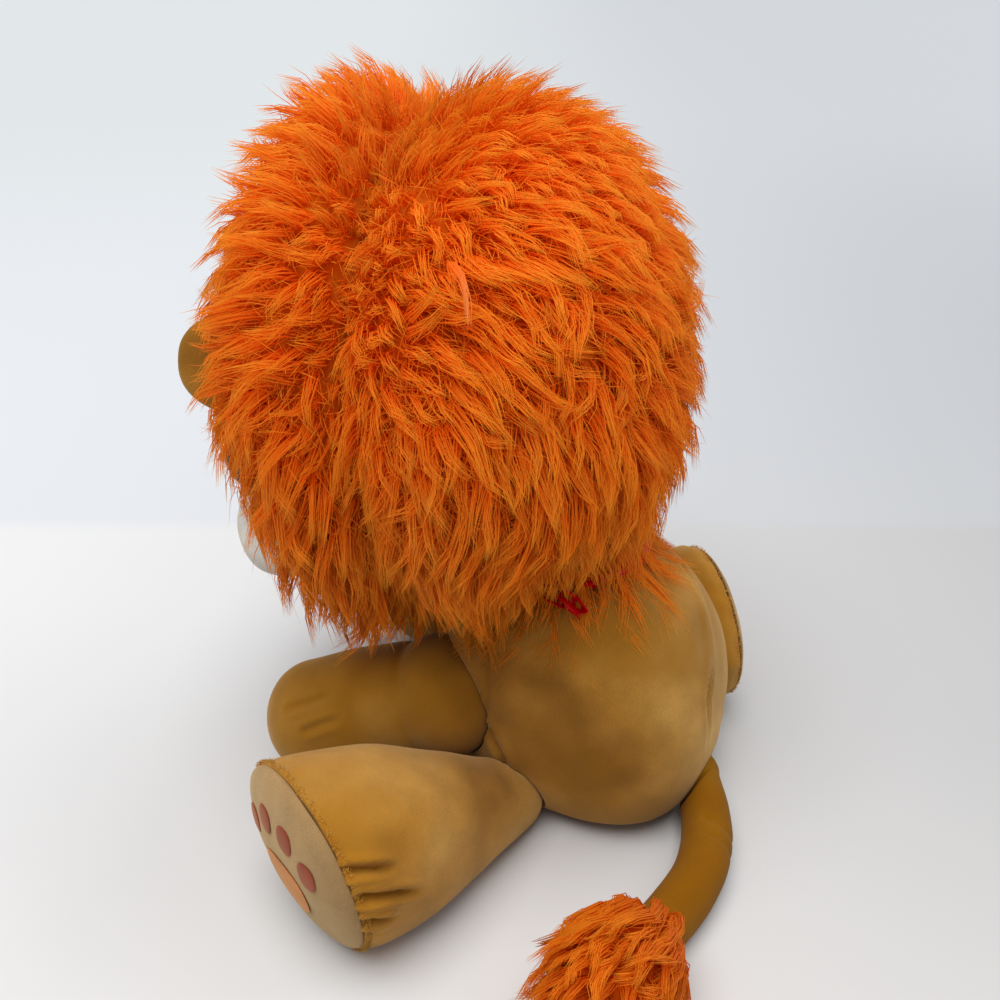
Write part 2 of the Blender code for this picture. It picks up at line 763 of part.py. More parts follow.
def make_ribbon(shop, satin, keepout):
    """A band on the shoulders round the neck, its loose end behind and its bow in front."""
    middle = neck_place()
    middle.z = RIBBON_HEIGHT
    outer = RIBBON_RADIUS + RIBBON_THICKNESS
    half = RIBBON_WIDTH / 2
    outline = [(outer, half), (outer, -half), (RIBBON_RADIUS, -half), (RIBBON_RADIUS, half)]
    place = Matrix.Translation(middle)
    band = shop.turned("neck_ribbon", [*outline, outline[0]], place, satin)
    cut(band, keepout)
    knot = Vector((0, body_front(BOW_HEIGHT) - BOW_STANDOFF, BOW_HEIGHT))
    bow = shop.ball(
        "ribbon_bow",
        (BOW_KNOT, BOW_THICKNESS, BOW_KNOT),
        Matrix.Translation(knot),
        satin,
        roundness=2.6,
        steps=SMALL_STEPS,
    )
    for side, word in ((1, "left"), (-1, "right")):
        turn = Matrix.Rotation(side * BOW_DROOP, 4, "Y")
        loop = shop.ball(
            "bow_loop_" + word,
            (BOW_LOOP_LENGTH, BOW_THICKNESS * 0.9, BOW_LOOP_HEIGHT),
            Matrix.Translation(knot) @ turn @ Matrix.Translation((side * BOW_LOOP_LENGTH / 2, 0, 0)),
            roundness=2.6,
            steps=SMALL_STEPS,
        )
        combine(bow, loop, "UNION")
    cut(bow, keepout)


def main():
    clear_scene()
    shop = Workshop()
    materials = {
        "plush": make_material("gold_plush", GOLD, 0.9),
        "fur": make_material("orange_fur", ORANGE, 0.85),
        "cream": make_material("cream_plush", CREAM, 0.9),
        "sole": make_material("taupe_velour", TAUPE, 0.9),
        "eye": make_material("black_plastic", BLACK, 0.12),
        "nose": make_material("brown_thread", BROWN, 0.5),
        "ribbon": make_material("red_satin", RED, 0.3),
        "washer": make_material("white_plastic", WHITE, 0.4),
    }
    seats = make_seats(shop, "_seat", SEAT_CLEARANCE)
    roots = make_seats(shop, "_root_room", ROOT_CLEARANCE)
    floor = make_floor(shop)
    keepout = make_keepout(shop, roots)
    make_body(shop, materials["plush"], materials["washer"], seats, floor)
    make_neck(shop, materials["plush"])
    make_front_legs(shop, materials["plush"], keepout, floor)
    make_hind_legs(shop, materials["plush"], materials["sole"], keepout, roots, floor)
    make_tail(shop, materials["plush"], materials["fur"], roots, floor)
    make_head(shop, materials, seats)
    make_ribbon(shop, materials["ribbon"], keepout)


main()
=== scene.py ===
"""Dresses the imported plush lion: plush skins with seams and pile, a long-haired mane and tuft,
a stitched face, soles with pads and a satin ribbon, with a pale floor, soft light and a camera.
"""

import json
import math

import bmesh
import bpy
import numpy as np
from bpy.props import FloatProperty, FloatVectorProperty, IntProperty, PointerProperty
from mathutils import Matrix, Vector, noise


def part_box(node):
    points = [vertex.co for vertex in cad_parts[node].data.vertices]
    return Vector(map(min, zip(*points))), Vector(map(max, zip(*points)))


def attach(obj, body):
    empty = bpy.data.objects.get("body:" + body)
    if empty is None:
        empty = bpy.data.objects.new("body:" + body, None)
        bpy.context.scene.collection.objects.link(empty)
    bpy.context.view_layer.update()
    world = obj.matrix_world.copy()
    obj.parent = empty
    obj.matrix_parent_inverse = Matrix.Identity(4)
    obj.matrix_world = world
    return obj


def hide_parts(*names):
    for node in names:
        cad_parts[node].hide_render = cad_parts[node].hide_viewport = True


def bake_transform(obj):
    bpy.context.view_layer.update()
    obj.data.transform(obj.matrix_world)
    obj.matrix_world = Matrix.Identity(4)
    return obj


bl_info = {
    "name": "Plush Lion",
    "version": (1, 0, 0),
    "blender": (4, 5, 0),
    "location": "View3D > Sidebar > Plush Lion",
    "description": "Makes the skins, fur, face, ribbon and stage of a stuffed lion",
    "category": "Add Mesh",
}

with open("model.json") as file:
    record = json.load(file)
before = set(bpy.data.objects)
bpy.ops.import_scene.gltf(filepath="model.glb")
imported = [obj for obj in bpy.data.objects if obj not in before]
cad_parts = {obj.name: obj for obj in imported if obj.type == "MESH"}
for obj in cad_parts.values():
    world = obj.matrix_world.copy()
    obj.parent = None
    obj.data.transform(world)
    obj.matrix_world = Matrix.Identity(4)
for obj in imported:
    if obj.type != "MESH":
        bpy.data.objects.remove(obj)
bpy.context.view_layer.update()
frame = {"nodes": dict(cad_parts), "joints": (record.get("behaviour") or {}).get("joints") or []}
NODES = frame["nodes"]

UP = Vector((0.0, 0.0, 1.0))
SIDES = ((1, "left"), (-1, "right"))

# Body
BODY_WIDTH = 0.098
BODY_DEPTH = 0.105
BODY_HEIGHT = 0.104
BODY_BELLY_HEIGHT = 0.036
BODY_MIDDLE_Y = 0.004
BODY_LEAN = 0.013
BODY_SQUARENESS_SHARE = 0.74
BODY_LOWER_ROUND_SHARE = 0.30
BODY_LOWER_RISE_SHARE = 0.70
BODY_UPPER_ROUND_SHARE = 0.77

# Places that the pieces share
NECK_PLACE = Vector((0.0, -0.010, 0.106))
NECK_RADIUS = 0.027
HEAD_MIDDLE = Vector((0.004, -0.067, 0.151))
HEAD_SIZE = (0.114, 0.150, 0.132)
HEAD_TILT = math.radians(18)
HEAD_ROUNDNESS = 2.3
MUZZLE_SIZE = (0.068, 0.046, 0.048)
RUFF_SIZE = (0.168, 0.090, 0.198)
RUFF_MIDDLE = Vector((0.004, -0.076, 0.163))
CAP_SIZE = (0.164, 0.120, 0.182)
CAP_MIDDLE = Vector((0.004, -0.028, 0.170))
MANE_TILT = math.radians(6)

# Roots of the limbs, and how much room their seats leave
SHOULDER_RADIUS = 0.024
HIND_ROOT_LEFT = 0.0142
HIP_RADIUS_RIGHT = 0.022
TAIL_ROOT_RADIUS = 0.0100
ROOT_ROOM = 0.00025
SEAT_ROOM = 0.0006
SKIN_GAP = 0.0003
# How far the skins lie inside the solids that they stand for
SKIN_DEPTH = 0.0002
# How far a round form is pressed flat where it lies on the floor
FLOOR_PRESS = 0.0005


def joint_place(name):
    for joint in frame["joints"]:
        if joint["name"] == name:
            return Vector(joint["pos_m"])
    raise KeyError(name)


SHOULDER_LEFT = joint_place("front_leg_left_swing")
SHOULDER_RIGHT = joint_place("front_leg_right_swing")
HIP_LEFT = joint_place("hind_leg_left_swing")
HIP_RIGHT = joint_place("hind_leg_right_swing")
TAIL_ROOT = joint_place("tail_swing")


def length_property(name, words, default):
    return FloatProperty(name=name, description=words, default=default, unit="LENGTH")


def colour_property(name, words, default):
    return FloatVectorProperty(name=name, description=words, default=default, subtype="COLOR")


class LionSizes(bpy.types.PropertyGroup):
    """Sizes of what the frame doesn't fix."""

    pile_length: length_property("Pile Length", "Length of the pile at seams", 0.0016)
    lock_length: length_property("Lock Length", "Length of the mane's locks", 0.0195)
    lock_spacing: length_property("Lock Spacing", "Distance between locks", 0.0042)
    strands_per_lock: IntProperty(
        name="Strands", description="Strands in one lock of the mane", default=26, min=1
    )
    strand_radius: length_property("Strand Radius", "Radius of a strand", 0.00026)
    ribbon_width: length_property("Ribbon Width", "Width of the satin ribbon", 0.0120)


class LionColours(bpy.types.PropertyGroup):
    """Colours of the finishes, as linear values."""

    gold: colour_property("Gold Plush", "Short pile", (0.40, 0.185, 0.026))
    # Deep gold is also painted shade, near the floor and under the mane
    gold_deep: colour_property("Deep Gold", "Pile in folds", (0.26, 0.107, 0.003))
    mane_root: colour_property("Mane Root", "Fur at its roots", (1.0, 0.185, 0.001))
    mane_tip: colour_property("Mane Tip", "Fur at its tips", (1.0, 0.50, 0.045))
    sole: colour_property("Sole", "Velour of the soles", (0.40, 0.245, 0.105))
    cream: colour_property("Cream", "Pile of the muzzle", (0.74, 0.70, 0.64))
    ribbon: colour_property("Ribbon", "Red satin", (0.62, 0.003, 0.006))


# Forms


def signed_power(value, power):
    return np.copysign(np.abs(value) ** power, value)


def round_cage(cuts):
    """Points of a unit ball with even square faces, and those faces."""
    form = bmesh.new()
    bmesh.ops.create_cube(form, size=2.0)
    bmesh.ops.subdivide_edges(form, edges=form.edges, cuts=cuts, use_grid_fill=True)
    points = np.array([v.co for v in form.verts])
    faces = [[v.index for v in f.verts] for f in form.faces]
    form.free()
    # An even spread of the cube's grid over the ball
    points = np.tan(points * math.pi / 4)
    return points / np.linalg.norm(points, axis=1)[:, None], faces


def shown(thing):
    """The new object, put in the scene."""
    bpy.context.scene.collection.objects.link(thing)
    return thing


def piece_from(name, points, faces, material=None):
    mesh = bpy.data.meshes.new(name)
    mesh.from_pydata([tuple(p) for p in points], [], faces)
    mesh.update()
    mesh.shade_smooth()
    if material is not None:
        mesh.materials.append(material)
    return shown(bpy.data.objects.new(name, mesh))


def points_of(thing):
    flat = np.empty(len(thing.data.vertices) * 3)
    thing.data.vertices.foreach_get("co", flat)
    return flat.reshape(-1, 3)


def normals_of(thing):
    flat = np.empty(len(thing.data.vertices) * 3)
    thing.data.vertex_normals.foreach_get("vector", flat)
    return flat.reshape(-1, 3)


def move_points(thing, points):
    thing.data.vertices.foreach_set("co", np.asarray(points, float).ravel())
    thing.data.update()


def baked(thing):
    """The piece with its modifiers made part of its mesh."""
    graph = bpy.context.evaluated_depsgraph_get()
    graph.update()
    mesh = bpy.data.meshes.new_from_object(thing.evaluated_get(graph))
    thing.modifiers.clear()
    thing.data = mesh
    mesh.shade_smooth()
    return thing


def combined(thing, others, operation):
    """The piece after a Boolean operation with each of the others."""
    for other in others:
        modifier = thing.modifiers.new("with_" + other.name, "BOOLEAN")
        modifier.operation = operation
        modifier.object = other
        modifier.solver = "EXACT"
    return baked(thing)


def cut(thing, *cutters):
    return combined(thing, cutters, "DIFFERENCE")


def discard(*things):
    for thing in things:
        bpy.data.objects.remove(thing, do_unlink=True)


def ball_points(cage, sizes, roundness=2.0):
    power = 2 / roundness
    level = np.hypot(cage[:, 0], cage[:, 1])
    turn = np.arctan2(cage[:, 1], cage[:, 0])
    width = level**power
    return np.stack(
        [
            sizes[0] / 2 * width * signed_power(np.cos(turn), power),
            sizes[1] / 2 * width * signed_power(np.sin(turn), power),
            sizes[2] / 2 * signed_power(cage[:, 2], power),
        ],
        axis=1,
    )


def placed(points, matrix):
    turn = np.array(matrix.to_3x3())
    return points @ turn.T + np.array(matrix.translation)


def tilted(place, tilt):
    return Matrix.Translation(place) @ Matrix.Rotation(tilt, 4, "X")


def along(place, direction):
    turn = Vector(direction).to_track_quat("Z", "Y").to_matrix().to_4x4()
    return Matrix.Translation(place) @ turn


def heading(turn, pitch):
    level = math.cos(pitch)
    return Vector((level * math.cos(turn), level * math.sin(turn), math.sin(pitch)))


def smoothed(points, steps):
    """Points of a smooth curve through the given ones, with steps between each two."""
    ends = [Vector(p) for p in points]
    ends = [ends[0] * 2 - ends[1], *ends, ends[-1] * 2 - ends[-2]]
    curve = []
    for before, a, b, after in zip(ends, ends[1:], ends[2:], ends[3:]):
        for step in range(steps):
            t = step / steps
            start, finish = (b - before) / 2, (after - a) / 2
            curve.append(
                a * (2 * t**3 - 3 * t**2 + 1)
                + start * (t**3 - 2 * t**2 + t)
                + b * (3 * t**2 - 2 * t**3)
                + finish * (t**3 - t**2)
            )
    return [*curve, ends[-2]]


def turned_points(cage, profile):
    """The ball's points laid on a turned form. The profile runs from its tip to its root."""
    profile = np.array(profile)
    steps = np.linalg.norm(np.diff(profile, axis=0), axis=1)
    reach = np.concatenate([[0], np.cumsum(steps)]) / steps.sum()
    fall = np.arccos(np.clip(cage[:, 2], -1, 1)) / math.pi
    turn = np.arctan2(cage[:, 1], cage[:, 0])
    radius = np.interp(fall, reach, profile[:, 0])
    height = np.interp(fall, reach, profile[:, 1])
    return np.stack([radius * np.cos(turn), radius * np.sin(turn), height], axis=1)


def rough(points, size, seed=0.0):
    """Smooth noise from -1 to 1 at each point, with lumps of this size."""
    return np.array([noise.noise(Vector(p) / size + Vector((seed, seed, seed))) for p in points])


def dents(points, height, size, seed=0.0):
    """Soft dents of this size, whose floor lies twice this height under the surface."""
    return height * rough(points, size, seed) - height


def bump_in(distance, width):
    """A groove's depth share at this distance from its middle."""
    return np.exp(-((distance / width) ** 2))


def on_floor(points):
    points = np.array(points)
    points[:, 2] = np.maximum(points[:, 2], 0.0)
    return points


def ends_above(vectors, roots, height):
    """The vectors from these roots, with their ends lifted to this height where they lie lower."""
    vectors = np.array(vectors)
    vectors[:, 2] = np.maximum(vectors[:, 2] + roots[:, 2], height) - roots[:, 2]
    return vectors


def full_or_quick(full):
    return full


def dress(piece, body, node):
    """Puts a finished piece on its body in place of its node."""
    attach(piece, body)
    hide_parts(node)


def body_points(cage, grow=0.0):
    x, y, z = cage.T
    level = np.hypot(x, y)
    turn = np.arctan2(y, x)
    lower = BODY_BELLY_HEIGHT + FLOOR_PRESS + grow
    upper = BODY_HEIGHT - BODY_BELLY_HEIGHT + grow
    below = z < 0
    width = np.where(below, level**BODY_LOWER_ROUND_SHARE, level**BODY_UPPER_ROUND_SHARE)
    rise = np.where(
        below,
        lower * signed_power(z, BODY_LOWER_RISE_SHARE),
        upper * signed_power(z, BODY_UPPER_ROUND_SHARE),
    )
    lean = np.where(below, 0.0, BODY_LEAN * np.maximum(rise / upper, 0) ** 1.5)
    across = signed_power(np.cos(turn), BODY_SQUARENESS_SHARE)
    ahead = signed_power(np.sin(turn), BODY_SQUARENESS_SHARE)
    return np.stack(
        [
            (BODY_WIDTH / 2 + grow) * width * across,
            BODY_MIDDLE_Y - lean + (BODY_DEPTH / 2 + grow) * width * ahead,
            BODY_BELLY_HEIGHT + rise,
        ],
        axis=1,
    )


def room_ball(name, place, radius):
    cage, faces = round_cage(14)
    return piece_from(name, cage * radius + np.array(place), faces)


def root_rooms(clearance):
    return [
        room_ball("neck_room", NECK_PLACE, NECK_RADIUS + clearance),
        room_ball("tail_room", TAIL_ROOT, TAIL_ROOT_RADIUS + clearance),
        room_ball("hip_left_room", HIP_LEFT, HIND_ROOT_LEFT + clearance),
        room_ball("hip_right_room", HIP_RIGHT, HIP_RADIUS_RIGHT + clearance),
        room_ball("shoulder_left_room", SHOULDER_LEFT, SHOULDER_RADIUS + clearance),
        room_ball("shoulder_right_room", SHOULDER_RIGHT, SHOULDER_RADIUS + clearance),
    ]


# Materials


def feed(tree, socket, value):
    """Links a socket to a node's output, or sets it to a value."""
    if isinstance(value, bpy.types.NodeSocket):
        tree.links.new(value, socket)
    elif socket.type == "RGBA":
        socket.default_value = (*value, 1.0)
    else:
        socket.default_value = value


def add_node(tree, kind, inputs=(), **settings):
    """A node with these settings. inputs pairs an input's name or number with an output or a value."""
    made = tree.nodes.new(kind)
    for key, value in settings.items():
        setattr(made, key, value)
    for key, value in dict(inputs).items():
        feed(tree, made.inputs[key], value)
    return made


class Finish:
    """A material with short names for the nodes that the finishes use."""

    def __init__(self, name, roughness=0.6):
        self.material = bpy.data.materials.new(name)
        self.material.use_nodes = True
        self.tree = self.material.node_tree
        self.shader = self.tree.nodes["Principled BSDF"]
        self.set(Roughness=roughness)

    def node(self, kind, inputs=(), **settings):
        return add_node(self.tree, kind, inputs, **settings)

    def set(self, **values):
        """Links or sets inputs of the surface."""
        for key, value in values.items():
            feed(self.tree, self.shader.inputs[key.replace("_", " ")], value)

    def place(self):
        return self.node("ShaderNodeTexCoord").outputs["Object"]

    def attribute(self, name, output="Fac"):
        return self.node("ShaderNodeAttribute", attribute_name=name).outputs[output]

    def noise(self, scale, detail=2.0, roughness=0.5, place=None):
        inputs = {"Scale": scale, "Detail": detail, "Roughness": roughness, "Vector": place or self.place()}
        return self.node("ShaderNodeTexNoise", inputs).outputs["Fac"]

    def ramp(self, value, *stops):
        made = self.node("ShaderNodeValToRGB", {"Fac": value})
        elements = made.color_ramp.elements
        while len(elements) < len(stops):
            elements.new(0.5)
        for element, (place, colour) in zip(elements, stops):
            element.position = place
            element.color = (*colour, 1.0)
        return made.outputs["Color"]

    def mix(self, share, first, second, blend="MIX"):
        made = self.node("ShaderNodeMix", data_type="RGBA", blend_type=blend)
        for key, value in (("Factor", share), ("A", first), ("B", second)):
            socket = [s for s in made.inputs if s.name == key and s.enabled][0]
            feed(self.tree, socket, value)
        return [s for s in made.outputs if s.enabled][0]

    def bump(self, height, strength, distance):
        made = self.node("ShaderNodeBump", {"Height": height, "Strength": strength, "Distance": distance})
        self.set(Normal=made.outputs["Normal"])


GOLD_SHADES = ((0.66, 0.60, 0.45), (1.25, 1.42, 2.1))
EVEN_SHADES = ((0.78, 0.76, 0.73), (1.14, 1.15, 1.17))


def plush_finish(name, light, deep, seed=0.0, shades=GOLD_SHADES, sheen=0.30):
    """Short velvety pile: patches where the nap lies the other way, and a fine grain.

    The attribute "deep" brings the deeper colour near seams and in folds, in random patches, and as painted
    shade near the floor and under the mane.
    """
    finish = Finish(name, 0.95)
    moved = finish.node("ShaderNodeMapping", {"Vector": finish.place(), "Location": (seed, seed, seed)})
    place = moved.outputs["Vector"]
    broad = finish.noise(24.0, 2.0, 0.5, place)
    strokes = finish.noise(95.0, 3.0, 0.6, place)
    fine = finish.noise(2100.0, 2.0, 0.6, place)
    darker, paler = (tuple(min(1.0, a * b) for a, b in zip(light, shade)) for shade in shades)
    nap = finish.ramp(broad, (0.34, darker), (0.50, light), (0.68, paler))
    stroke = finish.ramp(strokes, (0.35, (0.86, 0.86, 0.86)), (0.62, (1.0, 1.0, 1.0)))
    grain = finish.ramp(fine, (0.30, (0.80, 0.80, 0.80)), (0.65, (1.0, 1.0, 1.0)))
    colour = finish.mix(1.0, finish.mix(1.0, nap, stroke, "MULTIPLY"), grain, "MULTIPLY")
    finish.set(
        Base_Color=finish.mix(finish.attribute("deep"), colour, deep),
        Sheen_Weight=sheen,
        Sheen_Roughness=0.5,
        Sheen_Tint=(1.0, 0.80, 0.48),
        Specular_IOR_Level=0.08,
    )
    finish.bump(finish.mix(0.5, fine, strokes), 0.35, 0.0005)
    return finish.material


def strand_finish(name, root, tip, roughness=0.55):
    """Long pile: deeper at its roots, paler at its tips, each strand a little different, and darker where
    "shade" brings painted shade.

    The light follows partly the strand and partly the coat's own surface, as in dense fur.
    """
    finish = Finish(name, roughness)
    middle = tuple(a * 0.6 + b * 0.4 for a, b in zip(root, tip))
    colour = finish.ramp(finish.attribute("run"), (0.0, root), (0.45, middle), (1.0, tip))
    tone = finish.ramp(
        finish.attribute("shade"),
        (0.0, (0.50, 0.30, 0.16)),
        (0.2, (0.93, 0.68, 0.45)),
        (0.6, (1.0, 0.92, 0.85)),
        (1.0, (1.0, 1.0, 1.0)),
    )
    toned = finish.mix(1.0, colour, tone, "MULTIPLY")
    coat = finish.node(
        "ShaderNodeVectorTransform",
        {0: finish.attribute("facing", "Vector")},
        vector_type="VECTOR",
        convert_from="OBJECT",
        convert_to="WORLD",
    )
    own = finish.node("ShaderNodeNewGeometry").outputs["Normal"]
    both = finish.node("ShaderNodeVectorMath", {0: own, 1: coat.outputs[0]}, operation="ADD")
    even = finish.node("ShaderNodeVectorMath", {0: both.outputs[0]}, operation="NORMALIZE")
    finish.set(
        Base_Color=toned,
        Specular_IOR_Level=0.20,
        Specular_Tint=(1.0, 0.62, 0.30),
        Normal=even.outputs[0],
    )
    through = finish.node("ShaderNodeBsdfTranslucent", {"Color": toned})
    mixed = finish.node(
        "ShaderNodeMixShader",
        {"Fac": 0.42, 1: finish.shader.outputs["BSDF"], 2: through.outputs["BSDF"]},
    )
    # Part of the light goes on through a strand, so the coat is bright deep down
    passing = finish.node("ShaderNodeBsdfTransparent", {"Color": (0.84, 0.60, 0.28)})
    shadow = finish.node("ShaderNodeLightPath").outputs["Is Shadow Ray"]
    lit = finish.node(
        "ShaderNodeMixShader",
        {"Fac": shadow, 1: mixed.outputs["Shader"], 2: passing.outputs["BSDF"]},
    )
    feed(finish.tree, finish.tree.nodes["Material Output"].inputs["Surface"], lit.outputs["Shader"])
    return finish.material


def plain_finish(name, colour, roughness, grain_scale=400.0, bump=0.2, **values):
    """A smooth surface with a fine grain and highlights of its own colour."""
    finish = Finish(name, roughness)
    grain = finish.noise(grain_scale, 3.0, 0.6)
    tone = finish.ramp(grain, (0.3, tuple(c * 0.82 for c in colour)), (0.7, colour))
    tint = tuple(0.3 + 0.7 * min(1.0, c) for c in colour)
    finish.set(Base_Color=tone, Specular_Tint=tint, **values)
    if bump:
        finish.bump(grain, bump, 0.0003)
    return finish.material


MATERIALS = {}


def finish_of(name):
    """The object's finishes, each made once."""
    if name in MATERIALS:
        return MATERIALS[name]
    colours = bpy.context.scene.lion_colours
    gold, deep = tuple(colours.gold), tuple(colours.gold_deep)
    # The hind legs' gold is paler: painted light, as they lie in more light than the body
    pale = tuple(a * b for a, b in zip(gold, (1.13, 1.17, 1.30)))
    amber = tuple(a * b for a, b in zip(gold, (1.02, 0.92, 0.35)))
    makers = {
        "gold_plush": lambda: plush_finish(name, gold, deep),
        "gold_plush_painted_light": lambda: plush_finish(name, pale, amber, 5.0),
        "amber_plush": lambda: plush_finish(
            name, (0.26, 0.104, 0.004), (0.195, 0.070, 0.0005), 9.0, sheen=0.06
        ),
        "cream_plush": lambda: plush_finish(name, tuple(colours.cream), deep, 3.0, EVEN_SHADES),
        "sole_velour": lambda: plush_finish(name, tuple(colours.sole), deep, 7.0, EVEN_SHADES),
        "gold_pile": lambda: strand_finish(name, (0.60, 0.37, 0.075), (0.85, 0.64, 0.20), 0.8),
        "mane_fur": lambda: strand_finish(name, tuple(colours.mane_root), tuple(colours.mane_tip)),
        "tuft_fur": lambda: strand_finish(name, (0.80, 0.150, 0.001), (0.90, 0.40, 0.030)),
        "pale_fur": lambda: strand_finish(name, (1.0, 0.24, 0.015), (1.0, 0.52, 0.17)),
        # The backing is darker than the roots: painted shade of the deep fur where it shows through
        "mane_backing": lambda: plain_finish(name, tuple(c * 0.55 for c in colours.mane_root), 0.95),
        "eye_plastic": lambda: plain_finish(name, (0.008, 0.006, 0.006), 0.08, bump=0.0, Coat_Weight=0.6),
        "nose_thread": lambda: plain_finish(name, (0.10, 0.028, 0.014), 0.45, 900.0, 0.5),
        "pad_orange": lambda: plush_finish(name, (0.62, 0.20, 0.045), deep, 11.0, EVEN_SHADES),
        "pad_red": lambda: plush_finish(name, (0.33, 0.045, 0.022), deep, 13.0, EVEN_SHADES),
        "satin": lambda: plain_finish(
            name, tuple(colours.ribbon), 0.40, 1400.0, 0.12, Specular_IOR_Level=0.22
        ),
        "bag_cloth": lambda: plain_finish(name, (0.70, 0.68, 0.62), 0.9, 700.0, 0.4),
        "washer_plastic": lambda: plain_finish(name, (0.80, 0.80, 0.78), 0.4, 90.0, 0.0),
    }
    MATERIALS[name] = makers[name]()
    return MATERIALS[name]


# Strands of fur, whose shapes follow each root's own vectors


STRAND_INPUTS = (
    ("Segments", "NodeSocketInt", 4),
    ("Sides", "NodeSocketInt", 3),
    ("Thickness", "NodeSocketFloat", 1.0),
)


def strand_tree(name):
    """Geometry Nodes that grow one tapered strand at each point of a cloud.

    Each point brings the vectors of its strand's curve (bend_a, bend_b, tip), its thickness
    and its shade. The run along the strand is kept as an attribute for the finish.
    """
    tree = bpy.data.node_groups.new(name, "GeometryNodeTree")
    face = tree.interface
    face.new_socket("Geometry", in_out="INPUT", socket_type="NodeSocketGeometry")
    for label, kind, value in STRAND_INPUTS:
        face.new_socket(label, in_out="INPUT", socket_type=kind).default_value = value
    face.new_socket("Material", in_out="INPUT", socket_type="NodeSocketMaterial")
    face.new_socket("Geometry", in_out="OUTPUT", socket_type="NodeSocketGeometry")

    def add(kind, inputs=(), output=0, **settings):
        return add_node(tree, kind, inputs, **settings).outputs[output]

    def math_node(operation, a, b):
        return add("ShaderNodeMath", {0: a, 1: b}, operation=operation)

    def scaled(vector, factor):
        return add("ShaderNodeVectorMath", {0: vector, "Scale": factor}, operation="SCALE")

    def summed(a, b):
        return add("ShaderNodeVectorMath", {0: a, 1: b}, operation="ADD")

    def attribute(label, kind="FLOAT_VECTOR"):
        return add("GeometryNodeInputNamedAttribute", {"Name": label}, "Attribute", data_type=kind)

    # A straight curve of some points at each root
    source = add_node(tree, "NodeGroupInput").outputs
    line = add("GeometryNodeCurvePrimitiveLine", {"End": (0.0, 0.0, 0.0)})
    line = add("GeometryNodeResampleCurve", {"Curve": line, "Count": source["Segments"]})
    lines = add("GeometryNodeInstanceOnPoints", {"Points": source["Geometry"], "Instance": line})
    lines = add("GeometryNodeRealizeInstances", {"Geometry": lines})

    # Its points move out to the strand's curve
    index = add("GeometryNodeSplineParameter", output="Index")
    run = math_node("DIVIDE", index, math_node("SUBTRACT", source["Segments"], 1.0))
    rest = math_node("SUBTRACT", 1.0, run)
    a_share = math_node("MULTIPLY", math_node("MULTIPLY", math_node("MULTIPLY", rest, rest), run), 3.0)
    b_share = math_node("MULTIPLY", math_node("MULTIPLY", math_node("MULTIPLY", rest, run), run), 3.0)
    bends = summed(scaled(attribute("bend_a"), a_share), scaled(attribute("bend_b"), b_share))
    offset = summed(bends, scaled(attribute("tip"), math_node("POWER", run, 3.0)))
    lines = add("GeometryNodeSetPosition", {"Geometry": lines, "Offset": offset})
    lines = add(
        "GeometryNodeStoreNamedAttribute",
        {"Geometry": lines, "Name": "run", "Value": run},
        data_type="FLOAT",
        domain="POINT",
    )

    # The strand gets thinner towards its tip
    taper = math_node("SUBTRACT", 1.0, math_node("POWER", run, 1.7))
    taper = math_node("ADD", math_node("MULTIPLY", taper, 0.96), 0.04)
    girth = math_node("MULTIPLY", attribute("thick", "FLOAT"), taper)
    girth = math_node("MULTIPLY", girth, source["Thickness"])
    lines = add("GeometryNodeSetCurveRadius", {"Curve": lines, "Radius": girth})
    ring = add("GeometryNodeCurvePrimitiveCircle", {"Radius": 1.0, "Resolution": source["Sides"]})
    strand = add(
        "GeometryNodeCurveToMesh",
        {"Curve": lines, "Profile Curve": ring, "Scale": girth, "Fill Caps": True},
    )
    strand = add("GeometryNodeRealizeInstances", {"Geometry": strand})
    strand = add("GeometryNodeSetMaterial", {"Geometry": strand, "Material": source["Material"]})
    add_node(tree, "NodeGroupOutput", {"Geometry": strand})
    return tree


def strands(name, roots, values, material):
    """A piece of strands that grow from the roots. values holds what each strand brings."""
    tree = bpy.data.node_groups.get("long_strands") or strand_tree("long_strands")
    mesh = bpy.data.meshes.new(name + "_roots")
    mesh.from_pydata([tuple(p) for p in roots], [], [])
    for label in ("bend_a", "bend_b", "tip", "facing"):
        mark = mesh.attributes.new(label, "FLOAT_VECTOR", "POINT")
        mark.data.foreach_set("vector", np.asarray(values[label], np.float32).ravel())
    for label in ("thick", "shade"):
        mark = mesh.attributes.new(label, "FLOAT", "POINT")
        mark.data.foreach_set("value", np.asarray(values[label], np.float32))
    cloud = shown(bpy.data.objects.new(name + "_cloud", mesh))
    grow = cloud.modifiers.new("grow", "NODES")
    grow.node_group = tree
    sockets = {i.name: i.identifier for i in tree.interface.items_tree if i.in_out == "INPUT"}
    for label, _, value in STRAND_INPUTS:
        grow[sockets[label]] = value
    grow[sockets["Material"]] = material
    graph = bpy.context.evaluated_depsgraph_get()
    graph.update()
    made = bpy.data.meshes.new_from_object(cloud.evaluated_get(graph))
    made.name = name
    for label in ("bend_a", "bend_b", "tip", "thick"):
        if label in made.attributes:
            made.attributes.remove(made.attributes[label])
    if not made.materials:
        made.materials.append(material)
    made.shade_smooth()
    discard(cloud)
    return shown(bpy.data.objects.new(name, made))


def unit(vectors):
    return vectors / np.maximum(np.linalg.norm(vectors, axis=1), 1e-9)[:, None]


def laid_flat(vectors, normals):
    """What is left of each vector along the surface with this normal."""
    return vectors - normals * (vectors * normals).sum(axis=1)[:, None]


def between(low, high, share):
    return low + (high - low) * share


